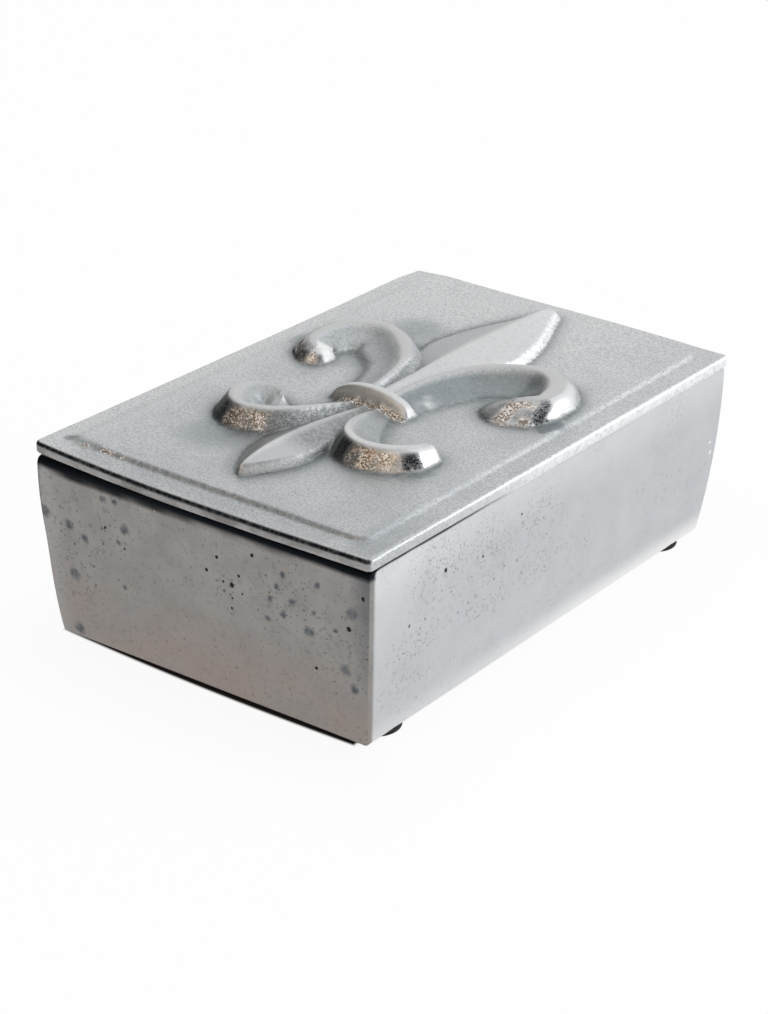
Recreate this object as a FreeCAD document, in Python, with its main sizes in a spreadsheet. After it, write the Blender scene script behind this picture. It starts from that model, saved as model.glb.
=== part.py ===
import FreeCAD, Part
import math
import os

import Sketcher

# Keepsake box cast in aluminium: a drafted tray on four round pads, and a lift-off lid with a lily in relief.
# Millimetres. +Z up, +Y towards the lily's tip, origin on the floor under the middle of the box.

SIZES = {
    # Tray
    "body_height": 55.0,
    "wall": 4.0,
    "tray_floor": 4.0,
    "draft_side": 3.8,
    "draft_end": 4.5,
    "rim_round_side": 0.9,
    "rim_round_end": 2.4,
    "base_round": 1.2,
    "inner_round": 5.0,
    # Pads under the tray
    "foot_diameter": 15.0,
    "foot_height": 1.5,
    "foot_edge": 0.5,
    "foot_inset_side": 6.5,
    "foot_inset_end": 12.5,
    # Lid plate, raised panel and locating rim
    "lid_length": 180.0,
    "lid_width": 118.0,
    "lid_plate": 3.5,
    "lid_corner": 1.8,
    "lid_edge": 0.7,
    "lid_overhang": 0.7,
    "panel_border": 7.5,
    "panel_rise": 1.0,
    "panel_corner": 4.0,
    "panel_edge": 0.6,
    "locating_depth": 5.0,
    "locating_wall": 3.0,
    "locating_corner": 3.0,
    "locating_gap": 0.8,
    # Lily
    "lily_length": 153.0,
    "lily_width": 90.0,
    "lily_rise": 6.0,
    "lily_shift": 5.0,
    "lily_root": 1.6,
    "band_length": 28.0,
    "band_width": 9.0,
    "band_rise": 6.3,
    "band_from_middle": 17.5,
    # Extra reach of the blocks that trim one another
    "overrun": 10.0,
}

# The right-hand upper scroll, from the band out along its rim to the curled end. Each row holds
# the place across and along, the rim's half width, the outer wall's run and the dished inner run,
# all as shares of the lily's width and length, then the rim's and the inner edge's shares of the rise.
UPPER_SCROLL_SHARES = [
    (0.047, -0.090, 0.009, 0.020, 0.055, 0.62, 0.25),
    (0.052, -0.050, 0.009, 0.020, 0.070, 0.68, 0.25),
    (0.062, -0.010, 0.010, 0.022, 0.085, 0.75, 0.26),
    (0.084, 0.039, 0.012, 0.024, 0.090, 0.80, 0.28),
    (0.122, 0.087, 0.018, 0.029, 0.095, 0.85, 0.30),
    (0.178, 0.125, 0.022, 0.031, 0.095, 0.88, 0.32),
    (0.250, 0.154, 0.020, 0.031, 0.085, 0.92, 0.34),
    (0.328, 0.166, 0.018, 0.036, 0.068, 0.92, 0.36),
    (0.400, 0.146, 0.024, 0.042, 0.052, 0.92, 0.38),
    (0.442, 0.110, 0.028, 0.046, 0.048, 0.92, 0.36),
    (0.449, 0.065, 0.024, 0.046, 0.046, 0.92, 0.30),
    (0.422, 0.023, 0.019, 0.046, 0.046, 0.90, 0.24),
    (0.394, -0.006, 0.014, 0.044, 0.044, 0.84, 0.20),
    (0.370, -0.038, 0.004, 0.020, 0.022, 0.14, 0.06),
]

# The right-hand lower scroll, from the band down, round and back over itself, in the same columns.
LOWER_SCROLL_SHARES = [
    (0.050, -0.145, 0.008, 0.022, 0.030, 0.75, 0.25),
    (0.064, -0.190, 0.010, 0.024, 0.040, 0.83, 0.26),
    (0.084, -0.235, 0.014, 0.030, 0.048, 0.90, 0.28),
    (0.124, -0.281, 0.022, 0.036, 0.050, 0.97, 0.30),
    (0.181, -0.308, 0.026, 0.040, 0.046, 1.00, 0.32),
    (0.244, -0.317, 0.027, 0.040, 0.042, 1.00, 0.34),
    (0.300, -0.302, 0.026, 0.038, 0.038, 1.00, 0.34),
    (0.337, -0.271, 0.022, 0.034, 0.034, 0.97, 0.32),
    (0.342, -0.235, 0.017, 0.029, 0.030, 0.92, 0.30),
    (0.311, -0.211, 0.013, 0.025, 0.028, 0.87, 0.28),
    (0.267, -0.203, 0.010, 0.022, 0.026, 0.80, 0.26),
    (0.229, -0.216, 0.008, 0.018, 0.022, 0.70, 0.24),
    (0.209, -0.229, 0.003, 0.010, 0.012, 0.14, 0.06),
]

# The two leaves on the axis. Each row holds the place along as a share of the lily's length, the half
# width at the top edge as a share of its width, and the edge's and the ridge's shares of the rise.
TOP_LEAF_SHARES = [
    (-0.085, 0.026, 0.40, 0.66),
    (-0.030, 0.030, 0.41, 0.68),
    (0.025, 0.042, 0.42, 0.70),
    (0.081, 0.075, 0.43, 0.73),
    (0.140, 0.128, 0.43, 0.73),
    (0.200, 0.161, 0.43, 0.73),
    (0.261, 0.153, 0.43, 0.72),
    (0.323, 0.126, 0.42, 0.70),
    (0.384, 0.086, 0.41, 0.66),
    (0.445, 0.042, 0.40, 0.58),
    (0.500, 0.006, 0.38, 0.46),
]
FOOT_LEAF_SHARES = [
    (-0.125, 0.028, 0.42, 0.70),
    (-0.203, 0.040, 0.43, 0.74),
    (-0.281, 0.060, 0.44, 0.76),
    (-0.345, 0.078, 0.45, 0.76),
    (-0.397, 0.074, 0.45, 0.72),
    (-0.442, 0.050, 0.45, 0.65),
    (-0.481, 0.018, 0.44, 0.56),
    (-0.500, 0.005, 0.42, 0.48),
]
# Run of a leaf's steep side wall as a share of the lily's width.
LEAF_WALL_SHARE = 0.012
# Depth of the dish half way down its slope, as a share of its straight fall.
DISH_SAG_SHARE = 0.62

doc = FreeCAD.newDocument("keepsake_box")
sheet = doc.addObject("Spreadsheet::Sheet", "Sizes")
for row, (alias, value) in enumerate(SIZES.items(), 1):
    sheet.set(f"A{row}", alias)
    sheet.set(f"B{row}", str(value))
    sheet.setAlias(f"B{row}", alias)
doc.recompute()


def size(alias):
    """A driving size, read from the sheet."""
    return float(sheet.get(alias))


def cell(alias):
    """The expression that names a driving size."""
    return f"<<Sizes>>.{alias}"


def new_body(name):
    """A body of its own for one padded piece."""
    return doc.addObject("PartDesign::Body", name)


def new_sketch(body, name, plane, level=None):
    """A sketch on one of a body's own planes, raised to a level given as an expression."""
    sketch = body.newObject("Sketcher::SketchObject", name)
    origin_plane = [f for f in body.Origin.OriginFeatures if f.Role == plane][0]
    sketch.AttachmentSupport = [(origin_plane, "")]
    sketch.MapMode = "FlatFace"
    if level is not None:
        sketch.setExpression("AttachmentOffset.Base.z", level)
    return sketch


def bind(sketch, name, constraint, expression):
    """Adds a named driving constraint whose value follows an expression."""
    index = sketch.addConstraint(constraint)
    sketch.renameConstraint(index, name)
    sketch.setExpression(f"Constraints.{name}", expression)


def arc(centre_x, centre_y, radius, start, end):
    """An arc in the sketch plane, anticlockwise between two angles."""
    centre = FreeCAD.Vector(centre_x, centre_y, 0)
    return Part.ArcOfCircle(Part.Circle(centre, FreeCAD.Vector(0, 0, 1), radius), start, end)


def line(x0, y0, x1, y1):
    """A straight line in the sketch plane."""
    return Part.LineSegment(FreeCAD.Vector(x0, y0, 0), FreeCAD.Vector(x1, y1, 0))


def rounded_rectangle(sketch, tag, width, length, corner):
    """A rectangle with round corners about the origin; width, length and corner are (value, expression)."""
    half_x = width[0] / 2
    half_y = length[0] / 2
    radius = corner[0]
    first = sketch.GeometryCount
    inner_x = half_x - radius
    inner_y = half_y - radius
    sketch.addGeometry([
        line(-inner_x, -half_y, inner_x, -half_y),
        arc(inner_x, -inner_y, radius, -math.pi / 2, 0),
        line(half_x, -inner_y, half_x, inner_y),
        arc(inner_x, inner_y, radius, 0, math.pi / 2),
        line(inner_x, half_y, -inner_x, half_y),
        arc(-inner_x, inner_y, radius, math.pi / 2, math.pi),
        line(-half_x, inner_y, -half_x, -inner_y),
        arc(-inner_x, -inner_y, radius, math.pi, 3 * math.pi / 2),
    ], False)
    south, corner_se, east, corner_ne, north, corner_nw, west, corner_sw = range(first, first + 8)
    ring = [south, corner_se, east, corner_ne, north, corner_nw, west, corner_sw]
    for here, after in zip(ring, ring[1:] + ring[:1]):
        sketch.addConstraint(Sketcher.Constraint("Tangent", here, 2, after, 1))
    for level_line in (south, north):
        sketch.addConstraint(Sketcher.Constraint("Horizontal", level_line))
    for upright in (east, west):
        sketch.addConstraint(Sketcher.Constraint("Vertical", upright))
    for other in (corner_ne, corner_nw, corner_sw):
        sketch.addConstraint(Sketcher.Constraint("Equal", corner_se, other))
    sketch.addConstraint(Sketcher.Constraint("Symmetric", corner_se, 3, corner_nw, 3, -1, 1))
    bind(sketch, f"{tag}_width", Sketcher.Constraint("DistanceX", west, 1, east, 1, width[0]), width[1])
    bind(sketch, f"{tag}_length", Sketcher.Constraint("DistanceY", south, 1, north, 1, length[0]), length[1])
    bind(sketch, f"{tag}_corner", Sketcher.Constraint("Radius", corner_se, radius), corner[1])


def tub_outline(sketch, half_width, draft, rim_round, inside):
    """The tray's cross-section about the vertical axis, outside or inside.

    Each wall is one arc, upright at the shoulder where the rim's rounding starts and drawn in by the
    draft at the floor. The inside keeps the outer wall's centre, one wall thickness nearer, and runs
    straight up past the rim. Sizes are (value, expression) pairs.
    """
    shoulder = size("body_height") - rim_round[0]
    shoulder_text = f"{cell('body_height')} - {rim_round[1]}"
    belly = (shoulder ** 2 + draft[0] ** 2) / (2 * draft[0])
    belly_text = f"(({shoulder_text})^2 + {draft[1]}^2) / (2 * {draft[1]})"
    thickness = size("wall") if inside else 0
    thickness_text = f" - {cell('wall')}" if inside else ""
    half = half_width[0] - thickness
    radius = belly - thickness
    bottom = size("tray_floor") if inside else 0
    base = size("inner_round" if inside else "base_round")
    top = size("body_height") + (size("overrun") if inside else 0)
    centre_x = half - radius
    base_x = centre_x + math.sqrt((radius - base) ** 2 - (shoulder - bottom - base) ** 2)
    turn = math.atan2(bottom + base - shoulder, base_x - centre_x)
    quarter = math.pi / 2
    if inside:
        right_top = line(half, shoulder, half, top)
        left_top = line(-half, top, -half, shoulder)
        top_x = half
    else:
        top_x = half - rim_round[0]
        right_top = arc(top_x, shoulder, rim_round[0], 0, quarter)
        left_top = arc(-top_x, shoulder, rim_round[0], quarter, math.pi)
    sketch.addGeometry([
        line(-base_x, bottom, base_x, bottom),
        arc(base_x, bottom + base, base, -quarter, turn),
        arc(centre_x, shoulder, radius, turn, 0),
        right_top,
        line(top_x, top, -top_x, top),
        left_top,
        arc(-centre_x, shoulder, radius, math.pi, math.pi - turn),
        arc(-base_x, bottom + base, base, math.pi - turn, 3 * quarter),
    ], False)
    floor_line, base_right, wall_right, rim_right, top_line, rim_left, wall_left, base_left = range(8)
    ring = [floor_line, base_right, wall_right, rim_right, top_line, rim_left, wall_left, base_left]
    for here, after in zip(ring, ring[1:] + ring[:1]):
        square_corner = inside and top_line in (here, after)
        kind = "Coincident" if square_corner else "Tangent"
        sketch.addConstraint(Sketcher.Constraint(kind, here, 2, after, 1))
    for level_line in (floor_line, top_line):
        sketch.addConstraint(Sketcher.Constraint("Horizontal", level_line))
    sketch.addConstraint(Sketcher.Constraint("Equal", base_right, base_left))
    sketch.addConstraint(Sketcher.Constraint("Equal", wall_right, wall_left))
    sketch.addConstraint(Sketcher.Constraint("Symmetric", wall_right, 3, wall_left, 3, -2))
    if inside:
        for upright in (rim_right, rim_left):
            sketch.addConstraint(Sketcher.Constraint("Vertical", upright))
        bind(sketch, "tray_floor", Sketcher.Constraint("DistanceY", -1, 1, floor_line, 1, bottom),
             cell("tray_floor"))
        top_text = f"{cell('body_height')} + {cell('overrun')}"
        base_text = cell("inner_round")
    else:
        sketch.addConstraint(Sketcher.Constraint("Equal", rim_right, rim_left))
        sketch.addConstraint(Sketcher.Constraint("PointOnObject", floor_line, 1, -1))
        bind(sketch, "rim_round", Sketcher.Constraint("Radius", rim_right, rim_round[0]), rim_round[1])
        top_text = cell("body_height")
        base_text = cell("base_round")
    bind(sketch, "shoulder", Sketcher.Constraint("DistanceY", -1, 1, wall_right, 3, shoulder), shoulder_text)
    bind(sketch, "top", Sketcher.Constraint("DistanceY", -1, 1, top_line, 1, top), top_text)
    bind(sketch, "base_round", Sketcher.Constraint("Radius", base_right, base), base_text)
    bind(sketch, "belly", Sketcher.Constraint("Radius", wall_right, radius), f"{belly_text}{thickness_text}")
    bind(sketch, "across", Sketcher.Constraint("DistanceX", wall_left, 1, wall_right, 2, 2 * half),
         f"2 * ({half_width[1]}{thickness_text})")


def tub_block(name, plane, half_width, draft, rim_round, inside, reach):
    """One cross-section of the tray carried straight past its ends."""
    body = new_body(name)
    sketch = new_sketch(body, f"{name}_outline", plane)
    tub_outline(sketch, half_width, draft, rim_round, inside)
    pad = body.newObject("PartDesign::Pad", f"{name}_pad")
    pad.Profile = sketch
    pad.SideType = "Symmetric"
    pad.setExpression("Length", f"{reach} + {cell('overrun')}")
    return body


def half_span(alias):
    """Half the tray's span under the lid, as a value and an expression."""
    value = size(alias) / 2 - size("lid_overhang")
    return value, f"({cell(alias)} / 2 - {cell('lid_overhang')})"


def pair(alias):
    """A driving size as a value and an expression."""
    return size(alias), cell(alias)


def crossed(name, inside):
    """The two cross-sections' common block, with mitred uprights where they meet."""
    across = tub_block(f"{name}_across", "XZ_Plane", half_span("lid_width"), pair("draft_side"),
                       pair("rim_round_side"), inside, cell("lid_length"))
    along = tub_block(f"{name}_along", "YZ_Plane", half_span("lid_length"), pair("draft_end"),
                      pair("rim_round_end"), inside, cell("lid_width"))
    common = doc.addObject("Part::Common", name)
    common.Base = across
    common.Tool = along
    return common


def make_box_body():
    """The tray: the crossed outer block less the crossed hollow, standing on its pads."""
    tray = doc.addObject("Part::Cut", "BoxBody")
    tray.Base = crossed("tray_outside", False)
    tray.Tool = crossed("tray_hollow", True)
    tray.Label = "box_body"
    tray.setExpression("Placement.Base.z", cell("foot_height"))
    return tray


def flat_half(alias, draft, rim_round):
    """Half the flat of the tray's underside, inside its base rounding, as an expression."""
    shoulder = f"({cell('body_height')} - {cell(rim_round)})"
    belly = f"(({shoulder}^2 + {cell(draft)}^2) / (2 * {cell(draft)}))"
    rise = f"({shoulder} - {cell('base_round')})"
    chord = f"sqrt(({belly} - {cell('base_round')})^2 - {rise}^2)"
    return f"({cell(alias)} / 2 - {cell('lid_overhang')} - {belly} + {chord})"


def make_foot(label, side, end):
    """A round pad with a softened lower edge, set in from the flat's edges."""
    body = new_body(label)
    body.Label = label
    sketch = new_sketch(body, f"{label}_outline", "XY_Plane")
    sketch.addGeometry(Part.Circle(FreeCAD.Vector(0, 0, 0), FreeCAD.Vector(0, 0, 1), size("foot_diameter") / 2))
    sketch.addConstraint(Sketcher.Constraint("Coincident", 0, 3, -1, 1))
    bind(sketch, "diameter", Sketcher.Constraint("Diameter", 0, size("foot_diameter")), cell("foot_diameter"))
    pad = body.newObject("PartDesign::Pad", f"{label}_pad")
    pad.Profile = sketch
    pad.setExpression("Length", cell("foot_height"))
    doc.recompute()
    lowest = min(range(len(pad.Shape.Edges)), key=lambda i: pad.Shape.Edges[i].BoundBox.ZMax)
    chamfer = body.newObject("PartDesign::Chamfer", f"{label}_edge")
    chamfer.Base = (pad, [f"Edge{lowest + 1}"])
    chamfer.setExpression("Size", cell("foot_edge"))
    across = f"({flat_half('lid_width', 'draft_side', 'rim_round_side')} - {cell('foot_inset_side')})"
    along = f"({flat_half('lid_length', 'draft_end', 'rim_round_end')} - {cell('foot_inset_end')})"
    body.setExpression("Placement.Base.x", f"{side} * {across}")
    body.setExpression("Placement.Base.y", f"{end} * {along}")
    return body


def make_lid_plate():
    """The plate with softened edges, the raised panel on it and the locating rim below, underside at 0."""
    body = new_body("LidPlate")
    outline = new_sketch(body, "plate_outline", "XY_Plane")
    rounded_rectangle(outline, "plate", pair("lid_width"), pair("lid_length"), pair("lid_corner"))
    plate = body.newObject("PartDesign::Pad", "plate")
    plate.Profile = outline
    plate.setExpression("Length", cell("lid_plate"))
    doc.recompute()
    flat_edges = [i for i, edge in enumerate(plate.Shape.Edges) if edge.BoundBox.ZLength < size("lid_edge") / 2]
    softened = body.newObject("PartDesign::Fillet", "plate_edges")
    softened.Base = (plate, [f"Edge{i + 1}" for i in flat_edges])
    softened.setExpression("Radius", cell("lid_edge"))

    panel_outline = new_sketch(body, "panel_outline", "XY_Plane", cell("lid_plate"))
    border = 2 * size("panel_border")
    border_text = f"2 * {cell('panel_border')}"
    rounded_rectangle(panel_outline, "panel",
                      (size("lid_width") - border, f"{cell('lid_width')} - {border_text}"),
                      (size("lid_length") - border, f"{cell('lid_length')} - {border_text}"),
                      pair("panel_corner"))
    panel = body.newObject("PartDesign::Pad", "panel")
    panel.Profile = panel_outline
    panel.setExpression("Length", cell("panel_rise"))
    doc.recompute()
    panel_top = size("lid_plate") + size("panel_rise")
    top_edges = [i for i, edge in enumerate(panel.Shape.Edges)
                 if abs(edge.BoundBox.ZMin - panel_top) < size("panel_edge") / 2]
    eased = body.newObject("PartDesign::Fillet", "panel_edges")
    eased.Base = (panel, [f"Edge{i + 1}" for i in top_edges])
    eased.setExpression("Radius", cell("panel_edge"))

    rim_outline = new_sketch(body, "locating_outline", "XY_Plane")
    for tag, inward in (("outer", 0), ("inner", 1)):
        inset = size("lid_overhang") + size("wall") + size("locating_gap") + inward * size("locating_wall")
        inset_text = " + ".join([cell("lid_overhang"), cell("wall"), cell("locating_gap"),
                                 f"{inward} * {cell('locating_wall')}"])
        rounded_rectangle(rim_outline, tag,
                          (size("lid_width") - 2 * inset, f"{cell('lid_width')} - 2 * ({inset_text})"),
                          (size("lid_length") - 2 * inset, f"{cell('lid_length')} - 2 * ({inset_text})"),
                          pair("locating_corner"))
    rim = body.newObject("PartDesign::Pad", "locating_rim")
    rim.Profile = rim_outline
    rim.Reversed = True
    rim.setExpression("Length", cell("locating_depth"))
    return body


def lily_place(across_share, along_share):
    """A point of the lily's plan on the lid."""
    return FreeCAD.Vector(across_share * size("lily_width"),
                          along_share * size("lily_length") + size("lily_shift"), 0)


def lily_ground():
    """The level of the panel that the lily stands on."""
    return size("lid_plate") + size("panel_rise")


def lily_loft(name, sections):
    """A solid ruled straight from each closed section of straight edges to the next."""
    wires = [Part.makePolygon(points + points[:1]) for points in sections]
    feature = doc.addObject("Part::Feature", name)
    feature.Shape = Part.makeLoft(wires, True, True)
    return feature


def make_scroll(name, shares, inward):
    """A right-hand scroll: a raised rim along its path, steep outside, dished inside.

    inward is 1 where the dish lies left of the path's direction and -1 where it lies right.
    """
    width = size("lily_width")
    rise = size("lily_rise")
    places = [lily_place(row[0], row[1]) for row in shares]
    path = Part.BSplineCurve()
    path.interpolate(places)
    sections = []
    for place, (_, _, band, outer, inner, crest, inner_edge) in zip(places, shares):
        heading = FreeCAD.Vector(*path.tangent(path.parameter(place))[0])
        dish_side = FreeCAD.Vector(-heading.y, heading.x, 0) * inward
        wall = LEAF_WALL_SHARE * width
        sag = crest - (crest - inner_edge) * DISH_SAG_SHARE
        profile = [
            (-(band + outer) * width, -size("lily_root")),
            (-band * width, crest * rise),
            (band * width, crest * rise),
            ((band + inner / 2) * width, sag * rise),
            ((band + inner) * width, inner_edge * rise),
            ((band + inner) * width + wall, -size("lily_root")),
        ]
        sections.append([place + dish_side * aside + FreeCAD.Vector(0, 0, lily_ground() + level)
                         for aside, level in profile])
    return lily_loft(name, sections)


def make_leaf(name, shares):
    """A leaf on the axis: a low ridge, sloping halves and steep side walls."""
    width = size("lily_width")
    rise = size("lily_rise")
    sections = []
    for along, half, edge, ridge in shares:
        middle = lily_place(0, along) + FreeCAD.Vector(0, 0, lily_ground())
        foot = (half + LEAF_WALL_SHARE) * width
        profile = [
            (-foot, -size("lily_root")),
            (-half * width, edge * rise),
            (0, ridge * rise),
            (half * width, edge * rise),
            (foot, -size("lily_root")),
        ]
        sections.append([middle + FreeCAD.Vector(aside, 0, level) for aside, level in profile])
    return lily_loft(name, sections)


def make_band():
    """The arched band that ties the lily's stems: the upper half of an ellipsoid."""
    band = doc.addObject("Part::Ellipsoid", "band")
    band.Angle1 = 0
    band.setExpression("Radius1", f"{cell('band_rise')} + {cell('lily_root')}")
    band.setExpression("Radius2", f"{cell('band_length')} / 2")
    band.setExpression("Radius3", f"{cell('band_width')} / 2")
    band.setExpression("Placement.Base.y", f"{cell('lily_shift')} - {cell('band_from_middle')}")
    band.setExpression("Placement.Base.z", f"{cell('lid_plate')} + {cell('panel_rise')} - {cell('lily_root')}")
    return band


def mirrored(feature):
    """The left-hand twin of a right-hand scroll."""
    twin = doc.addObject("Part::Mirroring", f"{feature.Name}_left")
    twin.Source = feature
    twin.Normal = FreeCAD.Vector(1, 0, 0)
    return twin


def make_lid():
    """The lid: plate, panel, locating rim and lily in one casting, lying on the tray's rim."""
    scrolls = [make_scroll("upper_scroll", UPPER_SCROLL_SHARES, -1),
               make_scroll("lower_scroll", LOWER_SCROLL_SHARES, 1)]
    leaves = [make_leaf("top_leaf", TOP_LEAF_SHARES), make_leaf("foot_leaf", FOOT_LEAF_SHARES)]
    lid = doc.addObject("Part::MultiFuse", "Lid")
    lid.Shapes = [make_lid_plate(), *leaves, *scrolls, *[mirrored(s) for s in scrolls], make_band()]
    lid.Label = "lid"
    lid.setExpression("Placement.Base.z", f"{cell('foot_height')} + {cell('body_height')}")
    return lid


pieces = [make_box_body(), make_lid()]
for end_name, end in (("front", -1), ("rear", 1)):
    for side_name, side in (("left", -1), ("right", 1)):
        pieces.append(make_foot(f"foot_{end_name}_{side_name}", side, end))
doc.recompute()

for thing in doc.Objects:
    if "Invalid" in thing.State or "Error" in thing.State:
        raise RuntimeError(f"{thing.Label} did not build: {thing.State}")
os.makedirs("parts", exist_ok=True)
for piece in pieces:
    if piece.Shape.isNull() or not piece.Shape.isValid():
        raise RuntimeError(f"{piece.Label} has no valid shape")
for piece in pieces:
    piece.Shape.exportStep(f"parts/{piece.Label}.step")
    box = piece.Shape.BoundBox
    print(f"{piece.Label}: {len(piece.Shape.Solids)} solid, {piece.Shape.Volume:.0f} mm3, "
          f"z {box.ZMin:.2f} to {box.ZMax:.2f}")
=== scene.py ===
"""Looks of a cast keepsake box: a bowed tray on rubber pads and a lift-off lid with a lily in relief."""

import logging
import math
from dataclasses import dataclass
from enum import Enum

import bpy
import numpy as np
from mathutils import Matrix, Vector


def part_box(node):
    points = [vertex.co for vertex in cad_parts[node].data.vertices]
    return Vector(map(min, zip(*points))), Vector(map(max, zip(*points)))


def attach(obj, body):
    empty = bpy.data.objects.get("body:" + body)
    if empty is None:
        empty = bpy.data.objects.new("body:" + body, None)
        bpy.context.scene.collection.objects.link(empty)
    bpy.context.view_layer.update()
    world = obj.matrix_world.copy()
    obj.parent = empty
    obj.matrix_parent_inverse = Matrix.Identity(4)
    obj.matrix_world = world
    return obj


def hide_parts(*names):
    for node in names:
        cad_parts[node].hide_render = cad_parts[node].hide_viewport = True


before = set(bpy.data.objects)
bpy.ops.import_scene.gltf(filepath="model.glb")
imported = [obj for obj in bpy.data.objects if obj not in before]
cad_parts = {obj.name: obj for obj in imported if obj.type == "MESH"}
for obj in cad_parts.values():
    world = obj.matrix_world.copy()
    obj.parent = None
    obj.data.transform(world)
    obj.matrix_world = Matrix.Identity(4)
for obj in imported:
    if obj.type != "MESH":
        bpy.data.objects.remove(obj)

LOG = logging.getLogger("keepsake_box")
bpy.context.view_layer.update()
MM = 0.001
Array = np.ndarray
Colour = tuple[float, float, float, float]


def smoothstep(low: Array | float, high: Array | float, value: Array) -> Array:
    """Eases from 0 at low to 1 at high: 3t squared less 2t cubed, held at both ends.

    Args:
        low: The value where the step starts.
        high: The value where it ends; below low the step falls.
        value: Where to read it.

    Returns:
        The eased step, as large as value.
    """
    share = np.clip((value - low) / (high - low), 0, 1)
    return share * share * (3 - 2 * share)


def patch(across: Array, along: Array, middle: tuple[float, float], outer: float, inner: float) -> Array:
    """A round patch: 1 within the inner radius of its middle, eased to 0 at the outer one."""
    return smoothstep(outer, inner, np.hypot(across - middle[0], along - middle[1]))


def soft_union(first: Array, second: Array, blend: float) -> Array:
    """The higher of two reliefs, with a fillet where both stand above the ground and nearly agree.

    Args:
        first: Heights of one relief.
        second: Heights of the other.
        blend: Difference in height over which the fillet forms.

    Returns:
        The joined heights.
    """
    reach = np.clip(np.minimum(first, second), 1e-9, blend)
    share = np.clip(1 - np.abs(first - second) / reach, 0, 1)
    return np.maximum(first, second) + share * share * reach / 4


def curve_through(rows: tuple[tuple[float, ...], ...], steps: int) -> Array:
    """A Catmull-Rom curve through rows of any number of columns.

    Args:
        rows: The points that the curve passes, each with its other measures.
        steps: Samples on each span.

    Returns:
        Samples as an array of one row each.
    """
    table = np.array(rows, float)
    ends = np.vstack([2 * table[0] - table[1], table, 2 * table[-1] - table[-2]])
    before, start, end, after = ends[:-3], ends[1:-2], ends[2:-1], ends[3:]
    time = np.linspace(0, 1, steps, endpoint=False)[:, None, None]
    spans = 0.5 * (2 * start + (end - before) * time + (2 * before - 5 * start + 4 * end - after) * time ** 2
                   + (3 * start - before - 3 * end + after) * time ** 3)
    return np.vstack([spans.transpose(1, 0, 2).reshape(-1, table.shape[1]), table[-1]])


def spread(heights: Array, rounds: int) -> Array:
    """Softens a grid by taking the mean of each point and its four neighbours, again and again.

    Args:
        heights: A grid of values.
        rounds: How many times the mean is taken.

    Returns:
        The softened grid.
    """
    for _ in range(rounds):
        padded = np.pad(heights, 1, mode="edge")
        heights = (padded[1:-1, 1:-1] + padded[:-2, 1:-1] + padded[2:, 1:-1]
                   + padded[1:-1, :-2] + padded[1:-1, 2:]) / 5
    return heights


@dataclass(frozen=True)
class CastSkin:
    """The smooth unevenness that sand leaves on a casting, the same on every run."""

    cell: float
    seed: int
    period: int = 256

    def at(self, across: Array, along: Array) -> Array:
        """Value noise: heights drawn on a square lattice, eased between neighbours.

        Args:
            across: First coordinate, in metres.
            along: Second coordinate, in metres.

        Returns:
            Unevenness from -1 to 1.
        """
        lattice = np.random.default_rng(self.seed).uniform(-1, 1, (self.period, self.period))
        column, row = np.floor(across / self.cell).astype(int), np.floor(along / self.cell).astype(int)
        right = smoothstep(0, 1, across / self.cell - column)
        rear = smoothstep(0, 1, along / self.cell - row)
        near = lattice[column % self.period, row % self.period] * (1 - right)
        near = near + lattice[(column + 1) % self.period, row % self.period] * right
        far = lattice[column % self.period, (row + 1) % self.period] * (1 - right)
        far = far + lattice[(column + 1) % self.period, (row + 1) % self.period] * right
        return near * (1 - rear) + far * rear


@dataclass(frozen=True)
class Perimeter:
    """Stations round a rectangle with arcs at its corners, anticlockwise from the front left."""

    across: int
    along: int
    turn: int

    def stations(self) -> tuple[Array, Array]:
        """Walks the front side and its corner, and turns both by quarter circles for the other sides.

        Returns:
            Places on a unit rectangle, and outward normals, each one row per station.
        """
        places, normals = [], []
        for quarter in range(4):
            side = np.linspace(-1, 1, (self.across, self.along)[quarter % 2] + 1)
            bend = np.linspace(0, math.pi / 2, self.turn + 1)[1:-1]
            straight = np.stack([side, -np.ones_like(side)], 1)
            flat = np.concatenate([straight, np.tile([1.0, -1.0], (bend.size, 1))])
            angle = np.concatenate([np.zeros_like(side), bend]) - math.pi / 2 + quarter * math.pi / 2
            cos, sin = round(math.cos(quarter * math.pi / 2)), round(math.sin(quarter * math.pi / 2))
            places.append(flat @ np.array([[cos, sin], [-sin, cos]]))
            normals.append(np.stack([np.cos(angle), np.sin(angle)], 1))
        return np.concatenate(places), np.concatenate(normals)


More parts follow.
